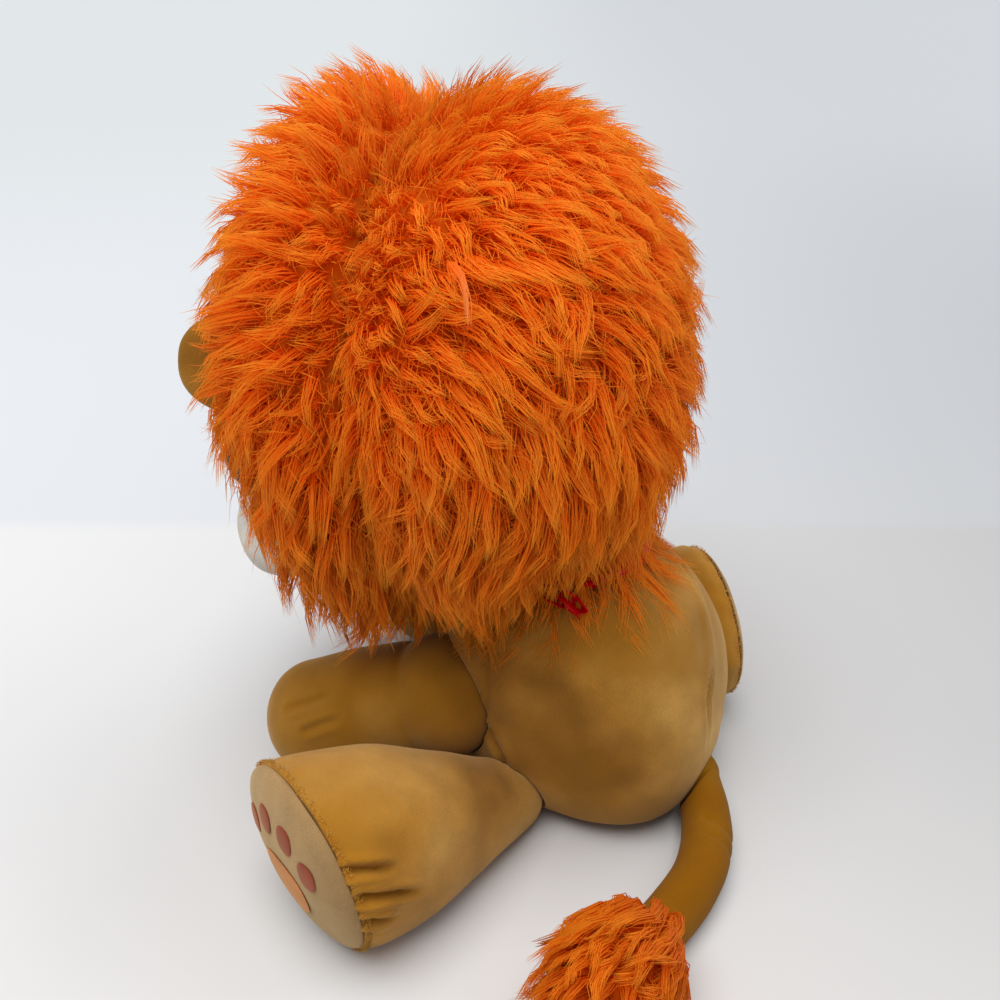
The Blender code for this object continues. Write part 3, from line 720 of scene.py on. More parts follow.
def scattered(thing, count, rng):
    """Points spread evenly by area over a mesh, with the surface's normals there."""
    mesh = thing.data
    mesh.calc_loop_triangles()
    corners = np.empty(len(mesh.loop_triangles) * 3, np.int32)
    mesh.loop_triangles.foreach_get("vertices", corners)
    corners = corners.reshape(-1, 3)
    points, normals = points_of(thing), normals_of(thing)
    a, b, c = (points[corners[:, i]] for i in range(3))
    area = np.linalg.norm(np.cross(b - a, c - a), axis=1) / 2
    chosen = rng.choice(len(corners), size=count, p=area / area.sum())
    u, v = rng.random(count), rng.random(count)
    over = u + v > 1
    u[over], v[over] = 1 - u[over], 1 - v[over]
    w = 1 - u - v
    trio = corners[chosen]
    place = a[chosen] * w[:, None] + b[chosen] * u[:, None] + c[chosen] * v[:, None]
    facing = (
        normals[trio[:, 0]] * w[:, None]
        + normals[trio[:, 1]] * u[:, None]
        + normals[trio[:, 2]] * v[:, None]
    )
    return place, unit(facing)


# A cell and the cells around it
NEIGHBOURS = [(dx, dy, dz) for dx in (-1, 0, 1) for dy in (-1, 0, 1) for dz in (-1, 0, 1)]


def thinned(points, gap, rng):
    """Leaves out points that lie closer than the gap to one that is kept."""
    cells = {}
    kept = []
    for i in rng.permutation(len(points)):
        x, y, z = np.floor(points[i] / gap).astype(int)
        around = (j for dx, dy, dz in NEIGHBOURS for j in cells.get((x + dx, y + dy, z + dz), ()))
        if all(((points[i] - points[j]) ** 2).sum() >= gap * gap for j in around):
            cells.setdefault((x, y, z), []).append(i)
            kept.append(i)
    return np.array(kept)


def inside_ball(points, matrix, sizes, roundness=2.0):
    """True where a point lies in a swollen ball."""
    local = placed(points, matrix.inverted())
    half = np.array(sizes) / 2
    return (np.abs(local / half) ** roundness).sum(axis=1) < 1


def body_depth(points, room):
    """Each point's share of the way from the body's upright middle line to its skin, and that middle's y."""
    z = points[:, 2]
    upper = BODY_HEIGHT - BODY_BELLY_HEIGHT + room
    share = np.clip((z - BODY_BELLY_HEIGHT) / upper, -1, 1)
    level = np.sqrt(np.clip(1 - np.abs(share) ** (2 / BODY_UPPER_ROUND_SHARE), 0, 1))
    width = np.where(z > BODY_BELLY_HEIGHT, level**BODY_UPPER_ROUND_SHARE, 1.0)
    lean = np.where(z > BODY_BELLY_HEIGHT, BODY_LEAN * np.clip(share, 0, 1) ** 1.5, 0.0)
    middle_y = BODY_MIDDLE_Y - lean
    x, y = points[:, 0], points[:, 1] - middle_y
    power = 2 / BODY_SQUARENESS_SHARE
    half_x = (BODY_WIDTH / 2 + room) * width + 1e-9
    half_y = (BODY_DEPTH / 2 + room) * width + 1e-9
    depth = (np.abs(x / half_x) ** power + np.abs(y / half_y) ** power) ** (1 / power)
    return np.where((z < BODY_HEIGHT + room) & (z > 0), depth, 9.0), middle_y


def off_body(points, room):
    """Moves points that lie in the body out to its surface and a little more."""
    points = np.array(points)
    depth, middle_y = body_depth(points, room)
    inside = depth < 1
    push = 1 / np.maximum(depth[inside], 0.2)
    points[inside, 0] *= push
    points[inside, 1] = middle_y[inside] + (points[inside, 1] - middle_y[inside]) * push
    return points


def above_body(points, room):
    """Lifts points that lie in the body until they are clear of it."""
    points = np.array(points)
    for _ in range(70):
        inside = body_depth(points, room)[0] < 1
        points[inside, 2] += 0.0003
    return points


# What share of its length a lock keeps in the valley between two forms
VALLEY_SHARE = 0.26
# How far the strands' roots lie under the base form's surface
ROOT_DEPTH = 0.0012
# How wide a lock's roots spread, as a share of the distance between locks
ROOT_SPREAD_SHARE = 0.68
# How much locks differ in length and stand, and strands in length
LOCK_LENGTH_RANGE = (0.72, 1.12)
LOCK_STAND_RANGE = (0.75, 1.25)
STRAND_LENGTH_RANGE = (0.80, 1.08)
UNDER_LENGTH_RANGE = (0.45, 0.75)
# How far a strand's end lies from its lock's, for flying, under and other strands
FLY_SCATTER = 0.0026
UNDER_SCATTER = 0.0018
LOCK_SCATTER = 0.0006


def lock_curves(centre, normal, length, seed, rng, style):
    """How each lock lies, how long it is, its fit to its place, and the vectors of its curve."""
    locks = len(centre)
    height = (centre[:, 2] - centre[:, 2].min()) / np.ptp(centre[:, 2])
    down = laid_flat(np.array([0.0, 0.0, -1.0]), normal)
    weight = between(style["droop_low"], style["droop_high"], height)
    swirl = np.stack([rough(centre, style["swirl_size"], 10.0 * k + seed) for k in (1, 2, 3)], axis=1)
    swirl = laid_flat(swirl, normal)
    stray = laid_flat(rng.normal(size=(locks, 3)), normal)
    lie = down * weight[:, None] + swirl * style["swirl"] + unit(stray) * style["stray"]
    lie = unit(lie + style["comb"](centre, normal))
    stand = between(style["stand_low"], style["stand_high"], height)
    stand = stand * rng.uniform(*LOCK_STAND_RANGE, locks)
    # Locks under the form hang straight down
    stand += 2.0 * np.clip(-normal[:, 2] - 0.25, 0, 1)
    fit = style["fit"](centre)
    size = length * rng.uniform(*LOCK_LENGTH_RANGE, locks) * fit
    size *= between(style["low_length"], 1, height)
    across = np.cross(normal, lie)
    curl = rng.uniform(-1, 1, locks) * style["curl"]
    tip = unit(normal * stand[:, None] + lie) * size[:, None]
    tip = tip + across * (curl * size)[:, None]
    bend_a = unit(normal * 1.0 + lie * 0.25) * (size * 0.40)[:, None]
    bend_b = unit(normal * (stand * 1.35 + 0.2)[:, None] + lie) * (size * 0.78)[:, None]
    bend_b = bend_b - across * (curl * size * 0.35)[:, None]
    return {"lie": lie, "size": size, "fit": fit, "bend_a": bend_a, "bend_b": bend_b, "tip": tip}


def coat_facing(normal):
    """Hanging locks turn their outer side to the light, though the form under them faces down."""
    coat = normal.copy()
    coat[:, 2] = np.maximum(coat[:, 2], 0.25 * coat[:, 2] + 0.10)
    return unit(coat)


def area_count(base, spacing):
    """About how many locks this far apart the form's surface holds."""
    area = sum(face.area for face in base.data.polygons)
    return area / (spacing * spacing * 0.87)


def lock_places(base, spacing, keep, rng):
    """Where locks grow on a base form, and its normals there. keep chooses among trial points."""
    trial, facing = scattered(base, int(area_count(base, spacing) * 3.2), rng)
    chosen = keep(trial)
    trial, facing = trial[chosen], facing[chosen]
    picked = thinned(trial, spacing, rng)
    return trial[picked], facing[picked]


def root_shift(normal, spacing, rng):
    """How far each strand's root lies from its lock's middle, along the surface."""
    count = len(normal)
    spin = rng.uniform(0, 2 * math.pi, count)
    spread = np.sqrt(rng.random(count)) * spacing * ROOT_SPREAD_SHARE
    side_a = unit(np.cross(normal, np.array([0.31, 0.52, 0.79])))
    side_b = np.cross(normal, side_a)
    return side_a * (np.cos(spin) * spread)[:, None] + side_b * (np.sin(spin) * spread)[:, None]


def strand_values(own, shift, radius, rng, style):
    """Each strand's curve, thickness and shade, from what its lock brings."""
    normal = own["normal"]
    count = len(normal)
    # Some strands stay short and loose under the locks, and some fly away from them
    under = rng.random(count) < style["under"]
    fly = rng.random(count) < style["flyaway"]
    short = rng.uniform(*UNDER_LENGTH_RANGE, count)
    scale = np.where(under, short, rng.uniform(*STRAND_LENGTH_RANGE, count))[:, None]
    pull = np.where(under | fly, 0.1, style["clump"] * rng.uniform(0.8, 1.0, count))[:, None]
    scatter = np.where(fly, FLY_SCATTER, np.where(under, UNDER_SCATTER, LOCK_SCATTER))[:, None]
    loose = rng.normal(size=(count, 3))
    upright = unit(normal * 0.7 + own["lie"] * 0.7 + rng.normal(size=(count, 3)) * 0.5)
    upright = upright * (own["size"] * 0.62)[:, None]
    low = under[:, None]
    tips = np.where(low, upright, own["tip"] * scale)
    bends = np.where(low, upright * 0.66 + normal * 0.001, own["bend_b"] * scale)
    values = {
        "bend_a": own["bend_a"] * scale + rng.normal(size=(count, 3)) * 0.0005,
        "bend_b": bends - shift * pull * 0.5 + loose * scatter * 0.5,
        "tip": tips - shift * pull + loose * scatter,
        "thick": radius * rng.uniform(0.75, 1.25, count) * np.where(under, 1.15, 1.0),
        "facing": own["coat"],
    }
    # Strands under the locks are darker: painted shade, on top of the lock's and the strand's own tone
    shade = np.clip(own["shade"] * 0.65 + rng.random(count) * 0.35 - under * 0.25, 0, 1)
    # Deep in the valley between two forms the fur gets painted shade
    values["shade"] = (0.2 + 0.8 * shade) * np.clip((own["fit"] - VALLEY_SHARE) / 0.40, 0, 1)
    return values


def lay_locks(base, spacing, length, per_lock, radius, seed, keep, style):
    """Roots and curves of the strands in the locks on a base form. keep chooses where fur grows."""
    rng = np.random.default_rng(seed)
    centre, normal = lock_places(base, spacing, keep, rng)
    locks = lock_curves(centre, normal, length, seed, rng, style)
    locks.update(centre=centre, normal=normal, coat=coat_facing(normal), shade=rng.random(len(centre)))
    # Each strand starts with what its lock brings
    own = {label: np.repeat(value, per_lock, axis=0) for label, value in locks.items()}
    shift = root_shift(own["normal"], spacing, rng)
    roots = own["centre"] + shift - own["normal"] * ROOT_DEPTH
    return roots, strand_values(own, shift, radius, rng, style)


def with_fill(locks, fill):
    """The locks' roots and values with those of the short fill between them."""
    roots, values = locks
    more_roots, more = fill
    return np.concatenate([roots, more_roots]), {k: np.concatenate([values[k], more[k]]) for k in values}


def clear_of_body(roots, values, room):
    for label in ("bend_b", "tip"):
        values[label] = off_body(roots + values[label], room) - roots
    values["tip"] = ends_above(values["tip"], roots, 0.001)


# Pieces


def body_skin(name, cuts, grow=0.0):
    cage, faces = round_cage(cuts)
    return piece_from(name, body_points(cage, grow), faces)


def off_line(points, line):
    """Distance of each point from a broken line, and how far along it from 0 to 1 the near place is."""
    line = np.array(line, float)
    steps = np.linalg.norm(np.diff(line, axis=0), axis=1)
    before = np.concatenate([[0], np.cumsum(steps)])
    best = np.full(len(points), 9.0)
    run = np.zeros(len(points))
    for a, b, step, start in zip(line, line[1:], steps, before):
        t = np.clip((points - a) @ (b - a) / step**2, 0, 1)
        gap = np.linalg.norm(points - a - t[:, None] * (b - a), axis=1)
        closer = gap < best
        best[closer] = gap[closer]
        run[closer] = ((start + t * step) / before[-1])[closer]
    return best, run


def crease(points, line, deep, width, ridge=0.0):
    """A groove along the line that fades at its far end, with a low ridge on both sides."""
    gap, run = off_line(points, line)
    fade = np.clip((1 - run) / 0.35, 0, 1)
    return fade * (ridge * bump_in(gap - width * 1.9, width) - deep * bump_in(gap, width))


def paint_deep(thing, share):
    mark = thing.data.attributes.new("deep", "FLOAT", "POINT")
    mark.data.foreach_set("value", np.clip(share, 0, 1).astype(np.float32))


# Each form says how deep and how wide a crease is, and how high the ridges beside it are
ARM_SEAM_FORM = (0.0016, 0.0011, 0.0005)
ARM_FOLD_FORM = (0.0022, 0.0016, 0.0012)
BACK_SEAM_FORM = (0.0016, 0.0014, 0.0008)
PAW_CREASE_FORM = (0.0010, 0.0016, 0.0005)
SOLE_FOLD_FORM = (0.0034, 0.0015, 0.0016)
ARM_SEAM = (
    (0.035, -0.0249, 0.0885),
    (0.0429, -0.021, 0.0742),
    (0.0466, -0.0192, 0.055),
    (0.0469, -0.0195, 0.0373),
)
ARM_FOLD = ((0.0469, -0.0185, 0.040), (0.0485, -0.0125, 0.030), (0.0480, -0.0110, 0.016))
BACK_SEAM = (
    (-0.0216, 0.0323, 0.0876),
    (-0.006, 0.046, 0.070),
    (0.0103, 0.0539, 0.0536),
    (0.012, 0.0560, 0.030),
)
# How high the broad and the fine lumps of the stuffing stand
BROAD_LUMPS = 0.0011
FINE_LUMPS = 0.0004


def stuffed_body():
    """The body's skin with its seam and folds, and with hollows for the limbs' roots."""
    body = body_skin("body_skin", 60, -SKIN_DEPTH)
    points, normals = points_of(body), normals_of(body)
    lumps = BROAD_LUMPS * rough(points, 0.030) + FINE_LUMPS * rough(points, 0.011, 5.0)
    depth = lumps - 0.0007
    depth += crease(points, ARM_SEAM, *ARM_SEAM_FORM)
    depth += crease(points, ARM_FOLD, *ARM_FOLD_FORM)
    depth += crease(points, BACK_SEAM, *BACK_SEAM_FORM)
    move_points(body, on_floor(points + normals * depth[:, None]))
    body.data.materials.append(finish_of("gold_plush"))
    rooms = root_rooms(SEAT_ROOM)
    cut(body, *rooms)
    discard(*rooms)
    # Painted shade: the plush is deeper in colour near the floor. It is also deeper in broad random patches.
    points = points_of(body)
    low = np.clip((0.034 - points[:, 2]) / 0.022, 0, 1) * 0.65
    patch = np.clip(rough(points, 0.034, 9.0) * 1.6 + 0.1, 0, 0.55)
    paint_deep(body, np.maximum(low, patch))
    return body


def neck_stump():
    cage, faces = round_cage(16)
    points = cage * (NECK_RADIUS - SKIN_DEPTH) + np.array(NECK_PLACE)
    return piece_from("neck_skin", points, faces, finish_of("gold_plush"))


class LION_OT_body(bpy.types.Operator):
    """The stuffed body with its back seam and folds, and the neck's stump"""

    bl_idname = "lion.body"
    bl_label = "Body"

    def execute(self, context):
        dress(stuffed_body(), "torso", "body")
        dress(neck_stump(), "neck", "neck")
        return {"FINISHED"}


def limb_profile(root_radius, length, widest, shares, tip_radius=None, joins_at=1.2):
    """A limb's outline from its tip to its round root, whose ball it leaves at this angle from its axis."""
    side = [(radius * widest, place * length) for place, radius in shares]
    side = [(root_radius * math.sin(joins_at), root_radius * math.cos(joins_at)), *side]
    if tip_radius is None:
        side = smoothed([(r, z, 0) for r, z in side], 12)
        end = side[-1][1]
        rim = side[-1][0]
        soft = 0.0012
        top = [(0.0, end), (rim - soft, end), (rim - soft * 0.3, end - soft * 0.25)]
        side = side[:-1]
    else:
        side = smoothed([(r, z, 0) for r, z in [*side, (tip_radius, length)]], 12)
        angles = [math.pi / 2 * i / 20 for i in range(1, 20)]
        top = [(tip_radius * math.cos(a), length + tip_radius * math.sin(a)) for a in angles]
        top = [(0.0, length + tip_radius), *reversed(top)]
    outline = [(point[0], point[1]) for point in reversed(side)]
    arc = [joins_at + (math.pi - joins_at) * i / 20 for i in range(21)]
    root = [(root_radius * math.sin(a), root_radius * math.cos(a)) for a in arc]
    return [*top, *outline[:-1], *root[:-1], (0.0, -root_radius)]


FRONT_LEG_LENGTH = 0.052
FRONT_LEG_SPLAY = math.radians(13.5)
PAW_RADIUS = 0.0240
FRONT_LEG_SHARES = ((0.25, 0.985), (0.45, 1.0), (0.65, 1.03), (0.85, 1.02))
HIND_RADIUS = 0.0340
# shares pairs a share of the leg's length with one of its radius, from root to sole. joins_at is
# the angle at which the root's ball goes over into the leg. lean is the sole's slope, and crown
# is how far it swells.
HIND_LEGS = {
    "left": {
        "root": HIP_LEFT,
        "root_radius": HIND_ROOT_LEFT,
        "length": 0.086,
        "turn": math.radians(-27),
        "pitch": math.radians(15.5),
        "shares": ((0.12, 0.535), (0.34, 0.71), (0.60, 0.925), (0.88, 1.0), (1.0, 0.965)),
        "joins_at": 1.88,
        "lean": 0.42,
        "crown": 0.0105,
    },
    "right": {
        "root": HIP_RIGHT,
        "root_radius": HIP_RADIUS_RIGHT,
        "length": 0.0385,
        "turn": math.radians(129),
        "pitch": math.radians(6),
        "shares": ((0.30, 0.76), (0.60, 0.93), (0.86, 1.0), (1.0, 0.93)),
        "joins_at": 1.2,
        "lean": 0.0,
        "crown": 0.006,
    },
}
HIND_SWING_RIGHT = math.radians(15)

PAW_CREASES = (
    ((0.0653, -0.0927, 0.0395), (0.064, -0.0873, 0.0422), (0.0604, -0.0758, 0.0481)),
    ((0.0690, -0.0840, 0.0340), (0.0672, -0.0770, 0.0385), (0.0650, -0.0700, 0.0420)),
)


def body_room():
    """The body's space, which the limbs leave free except at their round roots."""
    room = body_skin("body_room", 34, SKIN_GAP)
    rooms = root_rooms(ROOT_ROOM)
    cut(room, *rooms)
    discard(*rooms)
    return room


def swing_room(name, place, swing, radius):
    """All the space that the body takes as seen from a limb that swings about its root."""
    cage, _ = round_cage(16)
    start = body_points(cage, SKIN_GAP)
    form = bmesh.new()
    for step in range(4):
        there = Matrix.Translation(place) @ Matrix.Rotation(-swing * step / 3, 4, "Z")
        there = there @ Matrix.Translation(-place)
        for point in placed(start, there):
            form.verts.new(point)
    hull = bmesh.ops.convex_hull(form, input=form.verts)
    inner = {v for v in hull["geom_interior"] if isinstance(v, bmesh.types.BMVert)}
    bmesh.ops.delete(form, geom=list(inner), context="VERTS")
    mesh = bpy.data.meshes.new(name)
    form.to_mesh(mesh)
    form.free()
    room = shown(bpy.data.objects.new(name, mesh))
    own = room_ball(name + "_own", place, radius + ROOT_ROOM)
    cut(room, own)
    discard(own)
    return room


def front_leg_skin(side, word, root, room):
    """A front leg's skin, from its shoulder forward to the paw on the floor."""
    cage, faces = round_cage(44)
    profile = limb_profile(
        SHOULDER_RADIUS, FRONT_LEG_LENGTH, SHOULDER_RADIUS, FRONT_LEG_SHARES, PAW_RADIUS
    )
    drop = (root.z - (PAW_RADIUS - FLOOR_PRESS)) / FRONT_LEG_LENGTH
    direction = heading(math.radians(-90) + side * FRONT_LEG_SPLAY, -math.asin(drop))
    points = placed(turned_points(cage, profile), along(root, direction))
    leg = piece_from("front_leg_skin_" + word, points, faces, finish_of("gold_plush"))
    normals = normals_of(leg)
    depth = 0.0006 * rough(points, 0.018, 3.0 * side) - 0.0005
    past = (points - np.array(root)) @ np.array(direction)
    depth = np.where(past > 0.006, depth, np.minimum(depth, -SKIN_DEPTH))
    # Soft creases near the paw, where the leg bends down
    for line in PAW_CREASES:
        depth += crease(points, [(side * x, y, z) for x, y, z in line], *PAW_CREASE_FORM)
    move_points(leg, on_floor(points + normals * depth[:, None]))
    cut(leg, room)
    points = points_of(leg)
    # Painted shadow of the mane: the leg is deeper in colour, less so towards the paw that reaches out from
    # under it, with random patches.
    at_paw = np.clip(-points[:, 1] - 0.085, 0, 0.05)
    paint_deep(leg, 0.62 + 0.35 * rough(points, 0.022, 6.0) - 8.0 * at_paw)
    return leg


class LION_OT_front_legs(bpy.types.Operator):
    """Both stuffed front legs, laid forward under the head"""

    bl_idname = "lion.front_legs"
    bl_label = "Front Legs"

    def execute(self, context):
        room = body_room()
        for (side, word), root in zip(SIDES, (SHOULDER_LEFT, SHOULDER_RIGHT)):
            name = "front_leg_" + word
            dress(front_leg_skin(side, word, root, room), name, name)
        discard(room)
        return {"FINISHED"}


SOLE_FOLDS = (
    ((0.1366, -0.0232, 0.0528), (0.1300, -0.0180, 0.0500), (0.1225, -0.0132, 0.0450)),
    ((0.1366, -0.0186, 0.0430), (0.1270, -0.0120, 0.0385), (0.1165, -0.0080, 0.0310)),
    ((0.1364, -0.0184, 0.0330), (0.1310, -0.0150, 0.0300), (0.1270, -0.0125, 0.0270)),
)


# Places and half sizes of the pads on the sole
HEEL_PLACE = (0.0, -0.0075)
HEEL_HALF = (0.0125, 0.0095)
TOE_PLACES = ((-0.0165, 0.0075), (-0.006, 0.0150), (0.0062, 0.0150), (0.0165, 0.0075))
TOE_HALF = (0.0040, 0.0052)
PAD_THICKNESS = 0.0010


def leaned(local, lean, length=None):
    """A limb's end leans outwards at its top, by this much for each length above its middle."""
    share = 1.0 if length is None else np.clip(local[:, 2] / length, 0, 1) ** 2
    local = np.array(local)
    local[:, 2] += share * lean * local[:, 1]
    return local


def pad_piece(name, form, middle, half, finish, body):
    """A pad that lies on the crowned sole. form is the sole's place, rim, crown and lean."""
    there, rim, crown, lean = form
    cage, faces = round_cage(12)
    flat = ball_points(cage, (half[0] * 2, half[1] * 2, PAD_THICKNESS), 2.4)
    x = flat[:, 0] + middle[0]
    y = flat[:, 1] + middle[1]
    share = np.clip(np.hypot(x, y) / rim, 0, 1)
    z = crown * np.sqrt(1 - share**2) + flat[:, 2] * 0.9
    points = placed(leaned(np.stack([x, y, z], axis=1), lean), there)
    pad = piece_from(name, points, faces, finish_of(finish))
    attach(pad, body)


SEAM_PILE_COUNT = 1100
SEAM_PILE_RADIUS = 0.00013


def seam_pile(name, frame_there, rim, lean):
    """A fringe of short pile that stands over the sole's seam."""
    rng = np.random.default_rng(4)
    count = full_or_quick(SEAM_PILE_COUNT)
    spin = rng.uniform(0, 2 * math.pi, count)
    out = np.stack([np.cos(spin), np.sin(spin), np.zeros(count)], axis=1)
    start = out * (rim + 0.0003) - np.array([0, 0, 1.0]) * rng.uniform(0.0004, 0.0030, count)[:, None]
    turn = np.array(frame_there.to_3x3())
    roots = on_floor(placed(leaned(start, lean), frame_there))
    length = bpy.context.scene.lion_sizes.pile_length
    lie = out * 0.75 + np.array([0, 0, 0.75]) + rng.normal(size=(count, 3)) * 0.35
    tips = unit(lie) @ turn.T * (length * rng.uniform(0.6, 1.0, count))[:, None]
    tips = ends_above(tips, roots, 0.0002)
    values = {
        "bend_a": tips * 0.3 + out @ turn.T * 0.0002,
        "bend_b": tips * 0.7 + out @ turn.T * 0.0003,
        "tip": tips,
        "thick": np.full(count, SEAM_PILE_RADIUS),
        "shade": rng.uniform(0.2, 1.0, count),
        "facing": out @ turn.T,
    }
    return strands(name, roots, values, finish_of("gold_pile"))


def puckers(straight, length):
    """How deep the sole's gathered seam pulls folds into the leg, at points of the unleaned leg."""
    past = straight[:, 2]
    spin = np.arctan2(straight[:, 1], straight[:, 0])
    near = np.clip((past - (length - 0.012)) / 0.012, 0, 1) ** 2
    folds = np.cos(spin * 17 + 1.7 * np.sin(spin * 3)) * 0.5 + 0.5
    return 0.0010 * near * folds * np.clip((length - past) / 0.003, 0.25, 1)


def hind_skin(word, own, room):
    """A hind leg's skin, with what lies in the body's room cut away."""
    root, root_radius, length = own["root"], own["root_radius"], own["length"]
    there = along(root, heading(own["turn"], own["pitch"]))
    cage, faces = round_cage(48)
    profile = limb_profile(root_radius, length, HIND_RADIUS, own["shares"], joins_at=own["joins_at"])
    straight = turned_points(cage, profile)
    points = placed(leaned(straight, own["lean"], length), there)
    leg = piece_from("hind_leg_skin_" + word, points, faces, finish_of("gold_plush_painted_light"))
    normals = normals_of(leg)
    past = straight[:, 2]
    depth = 0.0007 * rough(points, 0.020, 7.0) - 0.0005
    depth = np.where(past > root_radius * 0.4, depth, np.minimum(depth, -SKIN_DEPTH))
    at_rim = np.clip((length - past) / 0.003, 0, 1)
    depth = np.where(past > length * 0.5, depth * at_rim, depth)
    depth -= puckers(straight, length)
    if word == "left":
        for line in SOLE_FOLDS:
            depth += crease(points, line, *SOLE_FOLD_FORM)
    move_points(leg, on_floor(points + normals * depth[:, None]))
    cut(leg, room)
    local = placed(points_of(leg), there.inverted())
    seam = np.clip(1 - (length - local[:, 2]) / 0.030, 0, 1) * (0.55 + 0.45 * np.sign(local[:, 1]))
    paint_deep(leg, 0.75 * seam * (0.7 + 0.5 * rough(local, 0.014, 2.0)))
    return leg


def sole_pieces(word, own, room):
    """A sole's crowned panel, the pile along its seam and its pads."""
    body = "hind_leg_" + word
    direction = heading(own["turn"], own["pitch"])
    there = along(own["root"] + direction * (own["length"] + SKIN_GAP), direction)
    crown, lean = own["crown"], own["lean"]
    rim = own["shares"][-1][1] * HIND_RADIUS - SKIN_DEPTH
    cage, faces = round_cage(30)
    profile = [(rim * math.sin(a), crown * math.cos(a)) for a in np.linspace(0, math.pi / 2, 24)]
    profile = [*profile[:-1], (rim, 0.0), (rim - 0.0002, -0.0001), (0.0, -0.0001)]
    points = placed(leaned(turned_points(cage, profile), lean), there)
    sole = piece_from("sole_skin_" + word, points, faces, finish_of("sole_velour"))
    wave = dents(points, 0.0003, 0.014, 2.0)
    move_points(sole, on_floor(points + normals_of(sole) * wave[:, None]))
    cut(sole, room)
    dress(sole, body, "sole_" + word)
    pile = seam_pile("sole_seam_pile_" + word, there, rim, lean)
    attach(pile, body)
    form = (there, rim, crown, lean)
    pad_piece("pad_heel_" + word, form, HEEL_PLACE, HEEL_HALF, "pad_orange", body)
    for i, place in enumerate(TOE_PLACES):
        pad_piece(f"pad_toe_{i + 1}_{word}", form, place, TOE_HALF, "pad_red", body)


class LION_OT_hind_legs(bpy.types.Operator):
    """Both hind legs with their puckered sole seams, soles and pads"""

    bl_idname = "lion.hind_legs"
    bl_label = "Hind Legs"

    def execute(self, context):
        for word, own in HIND_LEGS.items():
            body = "hind_leg_" + word
            root = own["root"]
            # The left leg bends at its root, so only the right one needs room to swing
            if word == "left":
                room = body_room()
                leg = hind_skin(word, own, room)
                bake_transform(leg)
            else:
                room = swing_room("hip_swing_room", root, HIND_SWING_RIGHT, own["root_radius"])
                leg = hind_skin(word, own, room)
                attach(leg, body)
            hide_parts(body)
            sole_pieces(word, own, room)
            discard(room)
        return {"FINISHED"}


TAIL_RADIUS = 0.0098
TAIL_ROUTE_SHARES = ((0.0, 0.0), (0.146, 0.088), (0.32, 0.142), (0.51, 0.143), (0.73, 0.095))
TUFT_LENGTH = 0.062
TUFT_RADIUS = 0.0235
TUFT_TURN = math.radians(8)
TUFT_SHARES = (
    (0.0, 0.36),
    (0.10, 0.50),
    (0.26, 0.80),
    (0.46, 1.0),
    (0.68, 0.94),
    (0.85, 0.68),
    (0.95, 0.36),
)
# Where along the tuft it is thickest, and rests on the floor
TUFT_REST_SHARE = 0.44
TAIL_SWING = math.radians(20)
TAIL_CREASES = (0.026, 0.033)
TUFT_STYLE = {
    "swirl_size": 0.020,
    "droop_low": 0.10,
    "droop_high": 0.15,
    "swirl": 0.45,
    "stray": 0.16,
    "fit": lambda centre: np.ones(len(centre)),
    "stand_low": 0.34,
    "stand_high": 0.36,
    "low_length": 0.90,
    "curl": 0.30,
    "flyaway": 0.02,
    "under": 0.0,
    "clump": 0.85,
}


def tail_line():
    route = [tuple(TAIL_ROOT)]
    for x, y in TAIL_ROUTE_SHARES[1:]:
        route.append((TAIL_ROOT.x + x * BODY_DEPTH, TAIL_ROOT.y + y * BODY_DEPTH, TAIL_RADIUS - FLOOR_PRESS))
    return smoothed(route, 16)


def tube_along(line, radius, rings=44):
    """Points and faces of a closed tube along a line."""
    points = []
    for i, place in enumerate(line):
        run = (line[min(i + 1, len(line) - 1)] - line[max(i - 1, 0)]).normalized()
        side = run.cross(UP).normalized()
        rise = side.cross(run)
        for k in range(rings):
            angle = 2 * math.pi * k / rings
            points.append(place + (side * math.cos(angle) + rise * math.sin(angle)) * radius)
    faces = []
    for i in range(len(line) - 1):
        for k in range(rings):
            a, b = i * rings + k, i * rings + (k + 1) % rings
            faces.append((a, a + rings, b + rings, b))
    faces.append(tuple(range(rings)))
    faces.append(tuple(reversed(range((len(line) - 1) * rings, len(line) * rings))))
    return np.array([tuple(p) for p in points]), faces


def turned_outwards(thing):
    form = bmesh.new()
    form.from_mesh(thing.data)
    bmesh.ops.recalc_face_normals(form, faces=form.faces)
    form.to_mesh(thing.data)
    form.free()


def tail_skin(line):
    """The tail's tube, with creases on the inner side of its bend and a ball at its root."""
    points, faces = tube_along(line, TAIL_RADIUS - SKIN_DEPTH)
    tail = piece_from("tail_tube", points, faces, finish_of("amber_plush"))
    turned_outwards(tail)
    normals = normals_of(tail)
    depth = dents(points, 0.0004, 0.012, 4.0)
    for at in TAIL_CREASES:
        inner = normals[:, 1] > -0.2
        depth -= 0.0010 * bump_in(points[:, 0] - TAIL_ROOT.x - at, 0.0011) * inner
    move_points(tail, on_floor(points + normals * depth[:, None]))
    knob = room_ball("tail_knob", TAIL_ROOT, TAIL_ROOT_RADIUS - 0.0001)
    combined(tail, [knob], "UNION")
    room = swing_room("tail_swing_room", TAIL_ROOT, TAIL_SWING, TAIL_ROOT_RADIUS)
    cut(tail, room)
    discard(knob, room)
    tail.name = "tail_skin"
    paint_deep(tail, 0.60 + 0.5 * rough(points_of(tail), 0.016, 3.0))
    return tail


def tuft_place(line):
    """Where the tuft starts at the tail's end, and its direction along the floor."""
    run = (line[-1] - line[-2]).normalized()
    rest = TUFT_RADIUS - FLOOR_PRESS
    belly = TUFT_REST_SHARE * TUFT_LENGTH
    lift = math.asin((rest - (TAIL_RADIUS - FLOOR_PRESS)) / belly) * 0.5
    base = line[-1] + run * SKIN_GAP
    base.z = rest - belly * math.sin(lift)
    return base, heading(math.atan2(run.y, run.x) + TUFT_TURN, lift)


